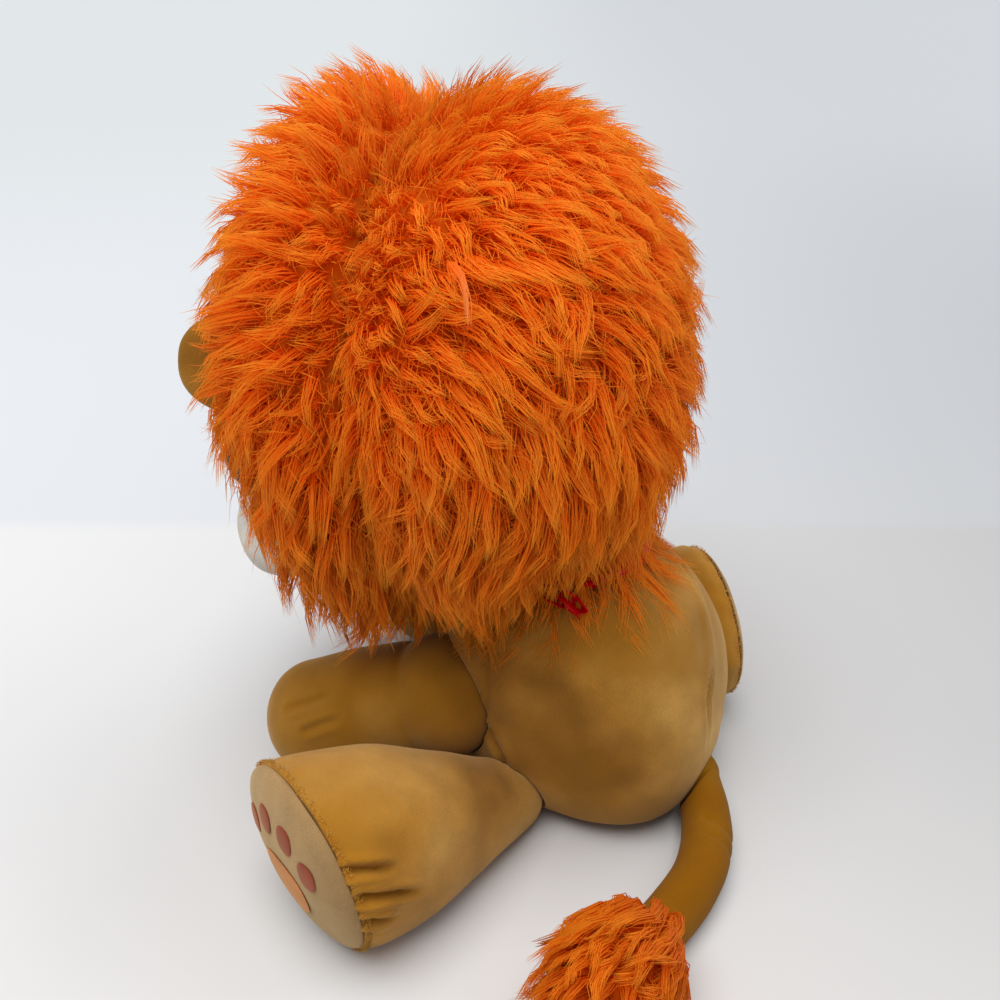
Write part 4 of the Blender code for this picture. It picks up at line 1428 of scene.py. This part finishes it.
def tuft_backing(base, direction):
    cage, faces = round_cage(14)
    profile = [(r * TUFT_RADIUS * 0.60, p * TUFT_LENGTH * 0.80) for p, r in reversed(TUFT_SHARES)]
    profile = [(0.0, TUFT_LENGTH * 0.78), *profile, (0.0, 0.0)]
    points = on_floor(placed(turned_points(cage, profile), along(base, direction)))
    return piece_from("tuft_backing", points, faces, finish_of("mane_backing"))


def tuft_fur(core, base, direction, sizes):
    away = np.array(direction)
    roots, values = lay_locks(
        core,
        sizes.lock_spacing * 0.72,
        sizes.lock_length * 1.28,
        full_or_quick(22),
        sizes.strand_radius * full_or_quick(1.0),
        77,
        lambda points: (points - np.array(base)) @ away > -0.001,
        dict(TUFT_STYLE, comb=lambda centre, normal: away[None, :] * 1.6),
    )
    for label in ("bend_a", "bend_b", "tip"):
        values[label] = ends_above(values[label], roots, 0.0007)
    return strands("tuft_fur", roots, values, finish_of("tuft_fur"))


class LION_OT_tail(bpy.types.Operator):
    """The stuffed tail along the floor and the long fur at its end"""

    bl_idname = "lion.tail"
    bl_label = "Tail"

    def execute(self, context):
        line = tail_line()
        dress(tail_skin(line), "tail", "tail")

        base, direction = tuft_place(line)
        core = tuft_backing(base, direction)
        dress(core, "tail", "tail_tuft")
        tuft = tuft_fur(core, base, direction, context.scene.lion_sizes)
        dress(tuft, "tail", "tail_tuft")
        return {"FINISHED"}


def head_frame():
    return tilted(HEAD_MIDDLE, HEAD_TILT)


def head_room():
    """The head's space and a little more, which the pieces on it leave free."""
    cage, faces = round_cage(30)
    local = ball_points(cage, [s + SKIN_GAP for s in HEAD_SIZE], HEAD_ROUNDNESS)
    return piece_from("head_room", placed(local, head_frame()), faces)


def rooms_below():
    """The space of the neck and the body, which the head and its mane stay clear of."""
    neck = room_ball("neck_room", NECK_PLACE, NECK_RADIUS + SEAT_ROOM)
    return neck, body_skin("rest_room", 30, HEAD_REST_GAP)


def head_front(x, z):
    """How far ahead of the head's middle its front lies at this place across and up."""
    wide = abs(2 * x / HEAD_SIZE[0]) ** HEAD_ROUNDNESS
    high = abs(2 * z / HEAD_SIZE[2]) ** HEAD_ROUNDNESS
    return HEAD_SIZE[1] / 2 * (1 - wide - high) ** (1 / HEAD_ROUNDNESS)


EYE_SPREAD = 0.060
EYE_DROP = 0.008
EYE_TURN = math.radians(25)
EYE_SIZE = (0.012, 0.020, 0.010)
EYE_HOLLOW = 0.0026
GUSSET_HALF_WIDTH = 0.017
NOSE_SIZE = (0.019, 0.0105, 0.0118)
MOUTH_HALF_WIDTH = 0.021
MUZZLE_DROP = 0.044
MUZZLE_STANDOFF = 0.0107
HEAD_REST_GAP = 0.009


def eye_frame(side):
    x, z = side * EYE_SPREAD / 2, -EYE_DROP
    turn = Matrix.Rotation(side * EYE_TURN, 4, "Z") @ Matrix.Rotation(math.radians(90), 4, "X")
    return head_frame() @ Matrix.Translation((x, -head_front(x, z), z)) @ turn


def head_skin():
    """The head, hollowed a little at the eyes, with the gusset's two seams up from them."""
    cage, faces = round_cage(56)
    local = ball_points(cage, [s - 2 * SKIN_DEPTH for s in HEAD_SIZE], HEAD_ROUNDNESS)
    points = placed(local, head_frame())
    head = piece_from("head_skin", points, faces, finish_of("gold_plush"))
    normals = normals_of(head)
    depth = dents(points, 0.0007, 0.026, 1.0)
    for side, _ in SIDES:
        eye = np.array(eye_frame(side).translation)
        depth -= EYE_HOLLOW * bump_in(np.linalg.norm(points - eye, axis=1), 0.011)
    front = local[:, 1] < 0
    seams = 0.0012 * bump_in(np.abs(local[:, 0]) - GUSSET_HALF_WIDTH, 0.0010)
    depth -= np.where(front & (local[:, 2] > 0), seams, 0.0)
    move_points(head, points + normals * depth[:, None])
    rooms = rooms_below()
    cut(head, *rooms)
    discard(*rooms)
    return head


class LION_OT_head(bpy.types.Operator):
    """The stuffed head, hollowed a little at the eyes, with its gusset seams"""

    bl_idname = "lion.head"
    bl_label = "Head"

    def execute(self, context):
        dress(head_skin(), "head", "head")
        return {"FINISHED"}


def muzzle_skin(there):
    """The muzzle with the groove below the nose and the two curves of the mouth."""
    cage, faces = round_cage(44)
    local = ball_points(cage, [s - 2 * SKIN_DEPTH for s in MUZZLE_SIZE], 2.2)
    points = placed(local, there)
    muzzle = piece_from("muzzle_skin", points, faces, finish_of("cream_plush"))
    normals = normals_of(muzzle)
    x, y, z = local.T
    groove = bump_in(x, 0.0016) * (z < 0.010)
    smile_z = -0.0045 - 0.0075 * (1 - np.cos(np.clip(np.abs(x) / 0.018, 0, 1) * math.pi)) / 2
    mouth = bump_in(z - smile_z, 0.0013) * (np.abs(x) < MOUTH_HALF_WIDTH)
    depth = dents(points, 0.0004, 0.015, 6.0)
    depth -= np.where(y < 0.004, 0.0026 * groove * (z > -0.006) + 0.0024 * mouth, 0.0)
    move_points(muzzle, points + normals * depth[:, None])
    room = head_room()
    cut(muzzle, room)
    discard(room)
    return muzzle


def nose_stitched(there):
    """The nose in satin stitch, wider above than below."""
    cage, faces = round_cage(16)
    local = ball_points(cage, NOSE_SIZE, 2.6)
    local[:, 0] *= 1 - 0.45 * np.clip(-local[:, 2] / 0.006, 0, 1)
    # Ridges of the stitch
    local[:, 1] *= 1 + 0.035 * np.sin(local[:, 0] * 5200)
    return piece_from("nose_stitched", placed(local, there), faces, finish_of("nose_thread"))


def eye_dome(side, word):
    cage, faces = round_cage(20)
    points = placed(ball_points(cage, EYE_SIZE, 2.1), eye_frame(side))
    return piece_from("eye_dome_" + word, points, faces, finish_of("eye_plastic"))


class LION_OT_face(bpy.types.Operator):
    """The muzzle with its lobes and mouth, the stitched nose and the shiny eyes"""

    bl_idname = "lion.face"
    bl_label = "Face"

    def execute(self, context):
        ahead = head_front(0, -MUZZLE_DROP) + MUZZLE_STANDOFF
        there = head_frame() @ Matrix.Translation((0, -ahead, -MUZZLE_DROP))
        dress(muzzle_skin(there), "head", "muzzle")
        top = there @ Matrix.Translation((0, -MUZZLE_SIZE[1] * 0.36, MUZZLE_SIZE[2] * 0.36))
        dress(nose_stitched(top), "head", "nose")
        for side, word in SIDES:
            dress(eye_dome(side, word), "head", "eye_" + word)
        return {"FINISHED"}


EAR_SIZE = (0.038, 0.014, 0.052)
EAR_STANDOFF = 0.004
EAR_LIFT = math.radians(29)
EAR_FORWARD = math.radians(38)


def ear_frame(side):
    level = math.cos(EAR_LIFT)
    ahead = level * math.sin(EAR_FORWARD)
    out = Vector((side * level * math.cos(EAR_FORWARD), -ahead, math.sin(EAR_LIFT)))
    across = out.cross(Vector((0, 1, 0))).normalized()
    back = out.cross(across).normalized()
    if back.y < 0:
        back.negate()
    across = back.cross(out)
    turn = Matrix((across, back, out)).transposed().to_4x4()
    return head_frame() @ Matrix.Translation(out * (HEAD_SIZE[0] / 2 + EAR_STANDOFF)) @ turn


def ear_skin(side, word):
    """An ear that is cupped in front, and cut where it is sewn to the head."""
    cage, faces = round_cage(30)
    local = ball_points(cage, [s - 2 * SKIN_DEPTH for s in EAR_SIZE], 2.3)
    cup = bump_in(np.hypot(local[:, 0] / 0.0125, (local[:, 2] - 0.006) / 0.019), 1.0)
    local[:, 1] *= np.where(local[:, 1] < 0, 1 - 0.8 * cup, 1.0)
    points = placed(local, ear_frame(side))
    ear = piece_from("ear_skin_" + word, points, faces, finish_of("gold_plush"))
    depth = dents(points, 0.0004, 0.012, 2.5)
    move_points(ear, points + normals_of(ear) * depth[:, None])
    room = head_room()
    cut(ear, room)
    discard(room)
    return ear


class LION_OT_ears(bpy.types.Operator):
    """Both cupped ears"""

    bl_idname = "lion.ears"
    bl_label = "Ears"

    def execute(self, context):
        for side, word in SIDES:
            dress(ear_skin(side, word), "head", "ear_" + word)
        return {"FINISHED"}


MANE_THICKNESS = 0.0100
# parting leans the locks at the top away from the line between both pieces, and low_length is how
# long the lowest locks are beside the highest ones
MANE_FORMS = {
    "ruff": {
        "middle": RUFF_MIDDLE,
        "size": RUFF_SIZE,
        "lowest": 0.068,
        "parting": -0.95,
        "low_length": 1.52,
        "seed": 5,
    },
    "cap": {
        "middle": CAP_MIDDLE,
        "size": CAP_SIZE,
        "lowest": 0.078,
        "parting": 0.90,
        "low_length": 1.40,
        "seed": 21,
    },
}
LOCK_STYLE = {
    "swirl_size": 0.022,
    "droop_low": 0.85,
    "droop_high": 0.45,
    "swirl": 0.85,
    "stray": 0.27,
    "stand_low": 0.50,
    "stand_high": 0.90,
    "curl": 0.26,
    "flyaway": 0.05,
    "under": 0.36,
    "clump": 0.82,
}
FILL_SPACING = 0.0030
FILL_LENGTH = 0.0115
FILL_STYLE = {
    "stand_low": 0.35,
    "stand_high": 0.5,
    "swirl": 1.4,
    "stray": 0.6,
    "clump": 0.3,
    "under": 0.0,
}
BODY_CLEARANCE = 0.0012
FACES_PER_STRAND = 20
MOST_FACES = 190000


STRAY_COUNT = 20
STRAY_PLACE = (0.0705, -0.0170, 0.2240)
STRAY_RUN = (0.0065, 0.0085, -0.0150)
STRAY_BOW = (-0.0006, 0.0022, 0.0008)
STRAY_RADIUS = 0.00022


def stray_locks():
    """A few paler strands that lie loose on the top of the mane."""
    rng = np.random.default_rng(8)
    count = STRAY_COUNT
    facing = np.tile(np.array(heading(math.radians(25), math.radians(50))), (count, 1))
    spread = rng.normal(size=(count, 3)) * 0.0007
    roots = np.array(STRAY_PLACE) + spread
    side = np.array(STRAY_BOW)
    tips = np.array(STRAY_RUN) - spread * 0.8 + rng.normal(size=(count, 3)) * 0.0003
    tips *= rng.uniform(0.70, 1.05, count)[:, None]
    values = {
        "bend_a": tips * 0.3 + facing * 0.0025 + side,
        "bend_b": tips * 0.7 + facing * 0.0035 + side,
        "tip": tips,
        "thick": np.full(count, STRAY_RADIUS),
        "shade": rng.uniform(0.2, 1.0, count),
        "facing": facing,
    }
    return strands("mane_stray_fur", roots, values, finish_of("pale_fur"))


def mane_form(word):
    """Where a piece of the mane has its middle and turn, and its size under the pile."""
    own = MANE_FORMS[word]
    return tilted(own["middle"], MANE_TILT), [s - 2 * MANE_THICKNESS for s in own["size"]]


def other_form(word):
    return mane_form("cap" if word == "ruff" else "ruff")


def bare_face(points):
    """True where the face keeps the fur away."""
    local = placed(points, head_frame().inverted())
    ahead = local[:, 1] < -0.030
    near = np.hypot(local[:, 0] / 0.060, (local[:, 2] + 0.010) / 0.070) < 1
    return ahead & near


def near_ear(points, side):
    return inside_ball(points, ear_frame(side), [s + 0.001 for s in EAR_SIZE])


def where_fur_grows(word):
    """A choice of the points of a mane piece that no other piece covers."""

    def keep(points):
        covered = inside_ball(points, *other_form(word))
        covered |= inside_ball(points, head_frame(), [s + 0.001 for s in HEAD_SIZE], HEAD_ROUNDNESS)
        if word == "ruff":
            covered |= bare_face(points) | near_ear(points, 1) | near_ear(points, -1)
        return ~covered & (points[:, 2] > MANE_FORMS[word]["lowest"])

    return keep


def combed(word):
    """Locks lie away from the form's middle, and at the top away from the parting."""
    own = MANE_FORMS[word]
    middle = np.array(own["middle"])

    def comb(centre, normal):
        away = unit((centre - middle) * np.array([1.0, 0.0, 1.0])) * 0.5
        away[:, 1] += own["parting"] * np.clip((centre[:, 2] - 0.150) / 0.050, 0, 1)
        return laid_flat(away, normal)

    return comb


def short_in_valley(word):
    """Locks are short in the valley where the two forms meet, and over the ribbon's end."""
    there, size = other_form(word)

    def fit(centre):
        local = placed(centre, there.inverted()) / (np.array(size) / 2)
        beyond = np.clip((np.linalg.norm(local, axis=1) - 1) / 0.28, 0, 1)
        # The lowest locks are short where the ribbon's end looks out
        above_end = np.array(RIBBON_END[-1][:2]) + np.array((0.011, -0.006))
        from_end = np.linalg.norm(centre[:, :2] - above_end, axis=1)
        low = np.clip((0.140 - centre[:, 2]) / 0.028, 0, 1)
        return between(VALLEY_SHARE, 1, beyond) * (1 - 0.72 * bump_in(from_end, 0.017) * low)

    return fit


def mane_strands(word, base, sizes):
    """Roots and curves of one mane piece's locks and of the short fill between them."""
    own = MANE_FORMS[word]
    style = dict(
        LOCK_STYLE,
        low_length=own["low_length"],
        comb=combed(word),
        fit=short_in_valley(word),
    )
    keep = where_fur_grows(word)
    thick = sizes.strand_radius * full_or_quick(1.0)
    per_lock = full_or_quick(sizes.strands_per_lock)
    locks = lay_locks(
        base, sizes.lock_spacing, sizes.lock_length, per_lock, thick, own["seed"], keep, style
    )
    short = dict(style, **FILL_STYLE)
    per_fill = full_or_quick(3)
    fill = lay_locks(
        base, FILL_SPACING, FILL_LENGTH, per_fill, thick * 1.15, own["seed"] + 2, keep, short
    )
    roots, values = with_fill(locks, fill)
    clear_of_body(roots, values, BODY_CLEARANCE)
    return roots, values


def mane_fur(word, roots, values):
    """The strands as pieces that stay under the most faces, each a sector about the form's middle."""
    middle = MANE_FORMS[word]["middle"]
    parts = max(1, math.ceil(len(roots) * FACES_PER_STRAND / MOST_FACES))
    spin = np.arctan2(roots[:, 2] - middle[2], roots[:, 0] - middle[0])
    for i, share in enumerate(np.array_split(np.argsort(spin), parts)):
        lot = {label: value[share] for label, value in values.items()}
        fur = strands(f"mane_{word}_fur_{i + 1}", roots[share], lot, finish_of("mane_fur"))
        dress(fur, "head", "mane_" + word)


class LION_OT_mane(bpy.types.Operator):
    """The mane's backing and its long locks, in the ruff round the face and the cap behind"""

    bl_idname = "lion.mane"
    bl_label = "Mane"

    def execute(self, context):
        cage, faces = round_cage(34)
        backings = {}
        for word in MANE_FORMS:
            there, size = mane_form(word)
            points = placed(ball_points(cage, size), there)
            backings[word] = piece_from(f"mane_{word}_backing", points, faces, finish_of("mane_backing"))
        for word, backing in backings.items():
            mane_fur(word, *mane_strands(word, backing, context.scene.lion_sizes))
        stray = stray_locks()
        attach(stray, "head")

        there, size = mane_form("ruff")
        cage, faces = round_cage(30)
        local = ball_points(cage, [s + SEAT_ROOM for s in size])
        ruff_room = piece_from("ruff_room", placed(local, there), faces)
        room, (neck, rest) = head_room(), rooms_below()
        cut(backings["cap"], room, ruff_room, neck, rest)
        cut(backings["ruff"], room, neck, rest)
        discard(room, ruff_room, neck, rest)
        for word, backing in backings.items():
            dress(backing, "head", "mane_" + word)
        return {"FINISHED"}


RIBBON_HEIGHT = 0.0992
RIBBON_RADIUS = 0.0312
RIBBON_FOLD = 0.0017
RIBBON_HALF_HEIGHT = 0.0034
RIBBON_WALL = 0.0003
RIBBON_COLUMNS = 15
RIBBON_END = (
    (0.0296, -0.0055, 0.0995),
    (0.0315, 0.0010, 0.0972),
    (0.0325, 0.0070, 0.0958),
    (0.0338, 0.0125, 0.0940),
)


def strips(*grids):
    """Points and faces of strips in one mesh. Each has rows of points, and closes to a ring or not."""
    points = []
    faces = []
    for rows, closed in grids:
        start = len(points)
        columns = len(rows[0])
        for row in rows:
            points.extend(row)
        for i in range(len(rows) if closed else len(rows) - 1):
            for k in range(columns - 1):
                a = start + i * columns + k
                b = start + (i + 1) % len(rows) * columns + k
                faces.append((a, b, b + 1, a + 1))
    return np.array(points), faces


def round_turns(count):
    return [2 * math.pi * i / count for i in range(count)]


def satin_cloth(name, points, faces, node):
    """A thin sheet of ribbon, solidified to the ribbon's thin wall."""
    cloth = piece_from(name, points, faces, finish_of("satin"))
    wall = cloth.modifiers.new("wall", "SOLIDIFY")
    wall.thickness = RIBBON_WALL
    wall.offset = 0.0
    baked(cloth)
    dress(cloth, "torso", node)
    return cloth


def band_rows():
    """The ribbon round the neck, gathered in soft folds along its length."""
    across = np.linspace(-1, 1, RIBBON_COLUMNS)
    rows = []
    for turn in round_turns(180):
        wobble = 0.7 * math.sin(5 * turn) + 0.5 * math.sin(11 * turn + 1.0)
        out = RIBBON_RADIUS + RIBBON_FOLD * np.sin(across * 4.7 + wobble)
        height = RIBBON_HEIGHT + RIBBON_HALF_HEIGHT * across + 0.0004 * math.sin(7 * turn)
        x, y = NECK_PLACE.x + out * math.cos(turn), NECK_PLACE.y + out * math.sin(turn)
        rows.append(np.stack([x, y, height], axis=1))
    return rows


def end_rows():
    """The loose crumpled end that looks out below the mane."""
    across = np.linspace(-1, 1, RIBBON_COLUMNS)
    line = smoothed(RIBBON_END, 10)
    outward = np.array((0.80, 0.10, 0.60))
    upward = np.array((-0.60, 0.05, 0.80))
    rows = []
    for i, place in enumerate(line):
        t = i / (len(line) - 1)
        half = 0.0040 - 0.0014 * t
        fold = 0.0019 * np.sin(across * 5.2 + 4.0 * t) + 0.0011 * np.sin(13 * t + across * 2.0)
        slide = 0.0016 * np.cos(across * 3.0 + 5.0 * t) * t
        row = np.array(place) + np.outer(across * half, upward) + np.outer(fold + 0.0014, outward)
        row[:, 1] += slide
        rows.append(row)
    return rows


def bow_rows(middle, half):
    """Two loops as one strip, pinched where it goes through the knot. half holds half the bow's sizes."""
    across = np.linspace(-1, 1, 9)
    rows = []
    for turn in round_turns(72):
        out = math.cos(turn)
        full = min(1.0, abs(out) ** 0.7 + 0.10)
        x = middle.x + out * (half.x - 0.0006)
        y = middle.y + math.sin(2 * turn) * (half.y - 0.0006) * 0.9
        drop = 0.0016 * abs(out) ** 2
        fold = 0.0006 * np.sin(across * 6.0) * (1 - abs(out) ** 2)
        z = middle.z - drop + across * half.z * 0.86 * full
        rows.append(np.stack([np.full(len(across), x), y + fold, z], axis=1))
    return rows


def wrap_rows(middle, half):
    """The knot's wrap about the middle of the bow."""
    across = np.linspace(-1, 1, 7)
    rows = []
    for turn in round_turns(28):
        x = middle.x + across * 0.0036 + 0.0003 * math.sin(3 * turn)
        y = np.full(len(across), middle.y + math.cos(turn) * (half.y - 0.0003))
        z = middle.z - 0.0004 + math.sin(turn) * half.z * 0.62 + 0.0003 * np.sin(across * 7)
        rows.append(np.stack([x, y, z], axis=1))
    return rows


class LION_OT_ribbon(bpy.types.Operator):
    """The satin ribbon round the neck with its loose end, and its bow"""

    bl_idname = "lion.ribbon"
    bl_label = "Ribbon"

    def execute(self, context):
        points, faces = strips((band_rows(), True), (end_rows(), False))
        points = above_body(points, 0.0005)
        satin_cloth("ribbon_band", points, faces, "neck_ribbon")

        low, high = (Vector(corner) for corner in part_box("ribbon_bow"))
        middle, half = (low + high) / 2, (high - low) / 2
        points, faces = strips((bow_rows(middle, half), True), (wrap_rows(middle, half), True))
        satin_cloth("ribbon_bow_loops", points, faces, "ribbon_bow")
        return {"FINISHED"}


class LION_OT_inner(bpy.types.Operator):
    """Finishes of the pieces inside: the pellet bag and the eyes' lock washers"""

    bl_idname = "lion.inner"
    bl_label = "Inner Pieces"

    def execute(self, context):
        for name, finish in (
            ("pellet_bag", "bag_cloth"),
            ("eye_washer_left", "washer_plastic"),
            ("eye_washer_right", "washer_plastic"),
        ):
            node = NODES[name]
            node.data.materials.clear()
            node.data.materials.append(finish_of(finish))
        return {"FINISHED"}


CAMERA_TARGET = Vector((0.0025, -0.0341, 0.112))
CAMERA_DISTANCE = 0.430
CAMERA_AZIMUTH = math.radians(115)
CAMERA_ELEVATION = math.radians(29)
CAMERA_VIEW = math.radians(47)
FLOOR_SIZE = 16.0
FLOOR_HEIGHT = -0.0002
CHANGE_BEHIND = 0.174
CHANGE_SOFTNESS = 0.02


def floor_finish():
    """Pale paper that turns a little cooler beyond a soft line behind the lion, with painted shade towards
    one side and painted light in front of the lion.
    """
    finish = Finish("floor_paper", 0.85)
    split = finish.node("ShaderNodeSeparateXYZ", {0: finish.place()}).outputs
    level = Vector((math.sin(CAMERA_AZIMUTH), -math.cos(CAMERA_AZIMUTH), 0.0))

    def measure(direction, middle, span):
        """From 0 to 1 along a level direction, over a span about its middle."""
        across = finish.node("ShaderNodeMath", {0: split["X"], 1: direction.x}, operation="MULTIPLY")
        onward = finish.node(
            "ShaderNodeMath",
            {0: split["Y"], 1: direction.y, 2: across.outputs[0]},
            operation="MULTIPLY_ADD",
        )
        ranged = finish.node(
            "ShaderNodeMapRange",
            {"Value": onward.outputs[0], "From Min": middle - span / 2, "From Max": middle + span / 2},
            interpolation_type="SMOOTHSTEP",
        )
        return ranged.outputs["Result"]

    behind = -level
    here = CAMERA_TARGET.dot(level)
    line = CAMERA_TARGET.dot(behind) + CHANGE_BEHIND
    far = measure(behind, line, CHANGE_SOFTNESS)
    rise = measure(behind, line + 0.6, 1.2)
    # Painted shade: the paper darkens towards one side, as the light falls off there
    side = measure(UP.cross(level), 0.05, 0.9)
    # Painted light: the paper is lighter in front of the lion, towards the camera
    close = measure(level, here + 0.09, 0.20)
    near_tone = finish.mix(side, (0.69, 0.69, 0.69), (0.39, 0.39, 0.39))
    close_tone = finish.mix(side, (0.78, 0.775, 0.765), (0.45, 0.44, 0.43))
    near_tone = finish.mix(close, near_tone, close_tone)
    # Outside the camera's view the paper is a little darker, so that it doesn't clip to white
    away = measure(level, here + 0.42, 0.36)
    near_tone = finish.mix(away, near_tone, (0.58, 0.58, 0.58))
    far_tone = finish.mix(side, (0.63, 0.645, 0.67), (0.42, 0.43, 0.445))
    top_tone = finish.mix(side, (0.575, 0.60, 0.61), (0.49, 0.505, 0.525))
    tone = finish.mix(far, near_tone, finish.mix(rise, far_tone, top_tone))
    finish.set(Base_Color=tone, Specular_IOR_Level=0.1)
    return finish.material


def studio_world():
    """Soft light from all round, and the tone that the camera sees behind the floor."""
    world = bpy.data.worlds.new("studio")
    world.use_nodes = True
    tree = world.node_tree
    light = tree.nodes["Background"]
    feed(tree, light.inputs["Color"], (0.95, 0.97, 1.0))
    feed(tree, light.inputs["Strength"], 0.40)
    seen = add_node(tree, "ShaderNodeBackground", {"Color": (0.72, 0.75, 0.79)})
    path = add_node(tree, "ShaderNodeLightPath").outputs
    rays = {0: path["Is Camera Ray"], 1: path["Is Transmission Ray"]}
    clear = add_node(tree, "ShaderNodeMath", rays, operation="MAXIMUM")
    shares = {"Fac": clear.outputs[0], 1: light.outputs[0], 2: seen.outputs[0]}
    both = add_node(tree, "ShaderNodeMixShader", shares)
    feed(tree, tree.nodes["World Output"].inputs["Surface"], both.outputs[0])
    return world


def aimed(thing, toward):
    thing.rotation_euler = toward.to_track_quat("-Z", "Y").to_euler()
    return shown(thing)


def sun_lamp(name, energy, width, turn, pitch):
    """A wide sun that shines from this turn and height, in degrees."""
    sun = bpy.data.lights.new(name, "SUN")
    sun.energy = energy
    sun.angle = math.radians(width)
    aimed(bpy.data.objects.new(name, sun), -heading(math.radians(turn), math.radians(pitch)))


def view_camera():
    lens = bpy.data.cameras.new("camera")
    lens.sensor_fit = "HORIZONTAL"
    lens.angle = CAMERA_VIEW
    lens.clip_start = 0.01
    camera = bpy.data.objects.new("camera", lens)
    level = math.cos(CAMERA_ELEVATION)
    ahead = -math.cos(CAMERA_AZIMUTH) * level
    back = Vector((math.sin(CAMERA_AZIMUTH) * level, ahead, math.sin(CAMERA_ELEVATION)))
    camera.location = CAMERA_TARGET + back * CAMERA_DISTANCE
    return aimed(camera, -back)


class LION_OT_stage(bpy.types.Operator):
    """The pale floor, the soft lamps and the camera"""

    bl_idname = "lion.stage"
    bl_label = "Stage"

    def execute(self, context):
        scene = context.scene
        scene.view_settings.view_transform = "Standard"
        reach = FLOOR_SIZE / 2
        corners = [(-reach, -reach), (reach, -reach), (reach, reach), (-reach, reach)]
        points = [(x, y, FLOOR_HEIGHT) for x, y in corners]
        piece_from("floor", points, [(0, 1, 2, 3)], floor_finish())
        scene.world = studio_world()
        sun_lamp("top_light", 2.6, 48, -8, 74)
        sun_lamp("side_light", 0.85, 60, 150, 38)
        scene.camera = view_camera()
        return {"FINISHED"}


OPERATORS = (
    LION_OT_stage,
    LION_OT_body,
    LION_OT_front_legs,
    LION_OT_hind_legs,
    LION_OT_tail,
    LION_OT_head,
    LION_OT_face,
    LION_OT_ears,
    LION_OT_mane,
    LION_OT_ribbon,
    LION_OT_inner,
)


class LION_PT_panel(bpy.types.Panel):
    """Lists the lion's sizes, colours and pieces"""

    bl_label = "Plush Lion"
    bl_idname = "LION_PT_panel"
    bl_space_type = "VIEW_3D"
    bl_region_type = "UI"
    bl_category = "Plush Lion"

    def draw(self, context):
        layout = self.layout
        for group in (context.scene.lion_sizes, context.scene.lion_colours):
            for key in group.__annotations__:
                layout.prop(group, key)
        for operator in OPERATORS:
            layout.operator(operator.bl_idname)


CLASSES = (LionSizes, LionColours, *OPERATORS, LION_PT_panel)


def register():
    for kind in CLASSES:
        bpy.utils.register_class(kind)
    bpy.types.Scene.lion_sizes = PointerProperty(type=LionSizes)
    bpy.types.Scene.lion_colours = PointerProperty(type=LionColours)


def unregister():
    del bpy.types.Scene.lion_colours
    del bpy.types.Scene.lion_sizes
    for kind in reversed(CLASSES):
        bpy.utils.unregister_class(kind)


def main():
    register()
    bpy.ops.lion.stage()
    bpy.ops.lion.body()
    bpy.ops.lion.front_legs()
    bpy.ops.lion.hind_legs()
    bpy.ops.lion.tail()
    bpy.ops.lion.head()
    bpy.ops.lion.face()
    bpy.ops.lion.ears()
    bpy.ops.lion.mane()
    bpy.ops.lion.ribbon()
    bpy.ops.lion.inner()


if __name__ == "__main__":
    main()
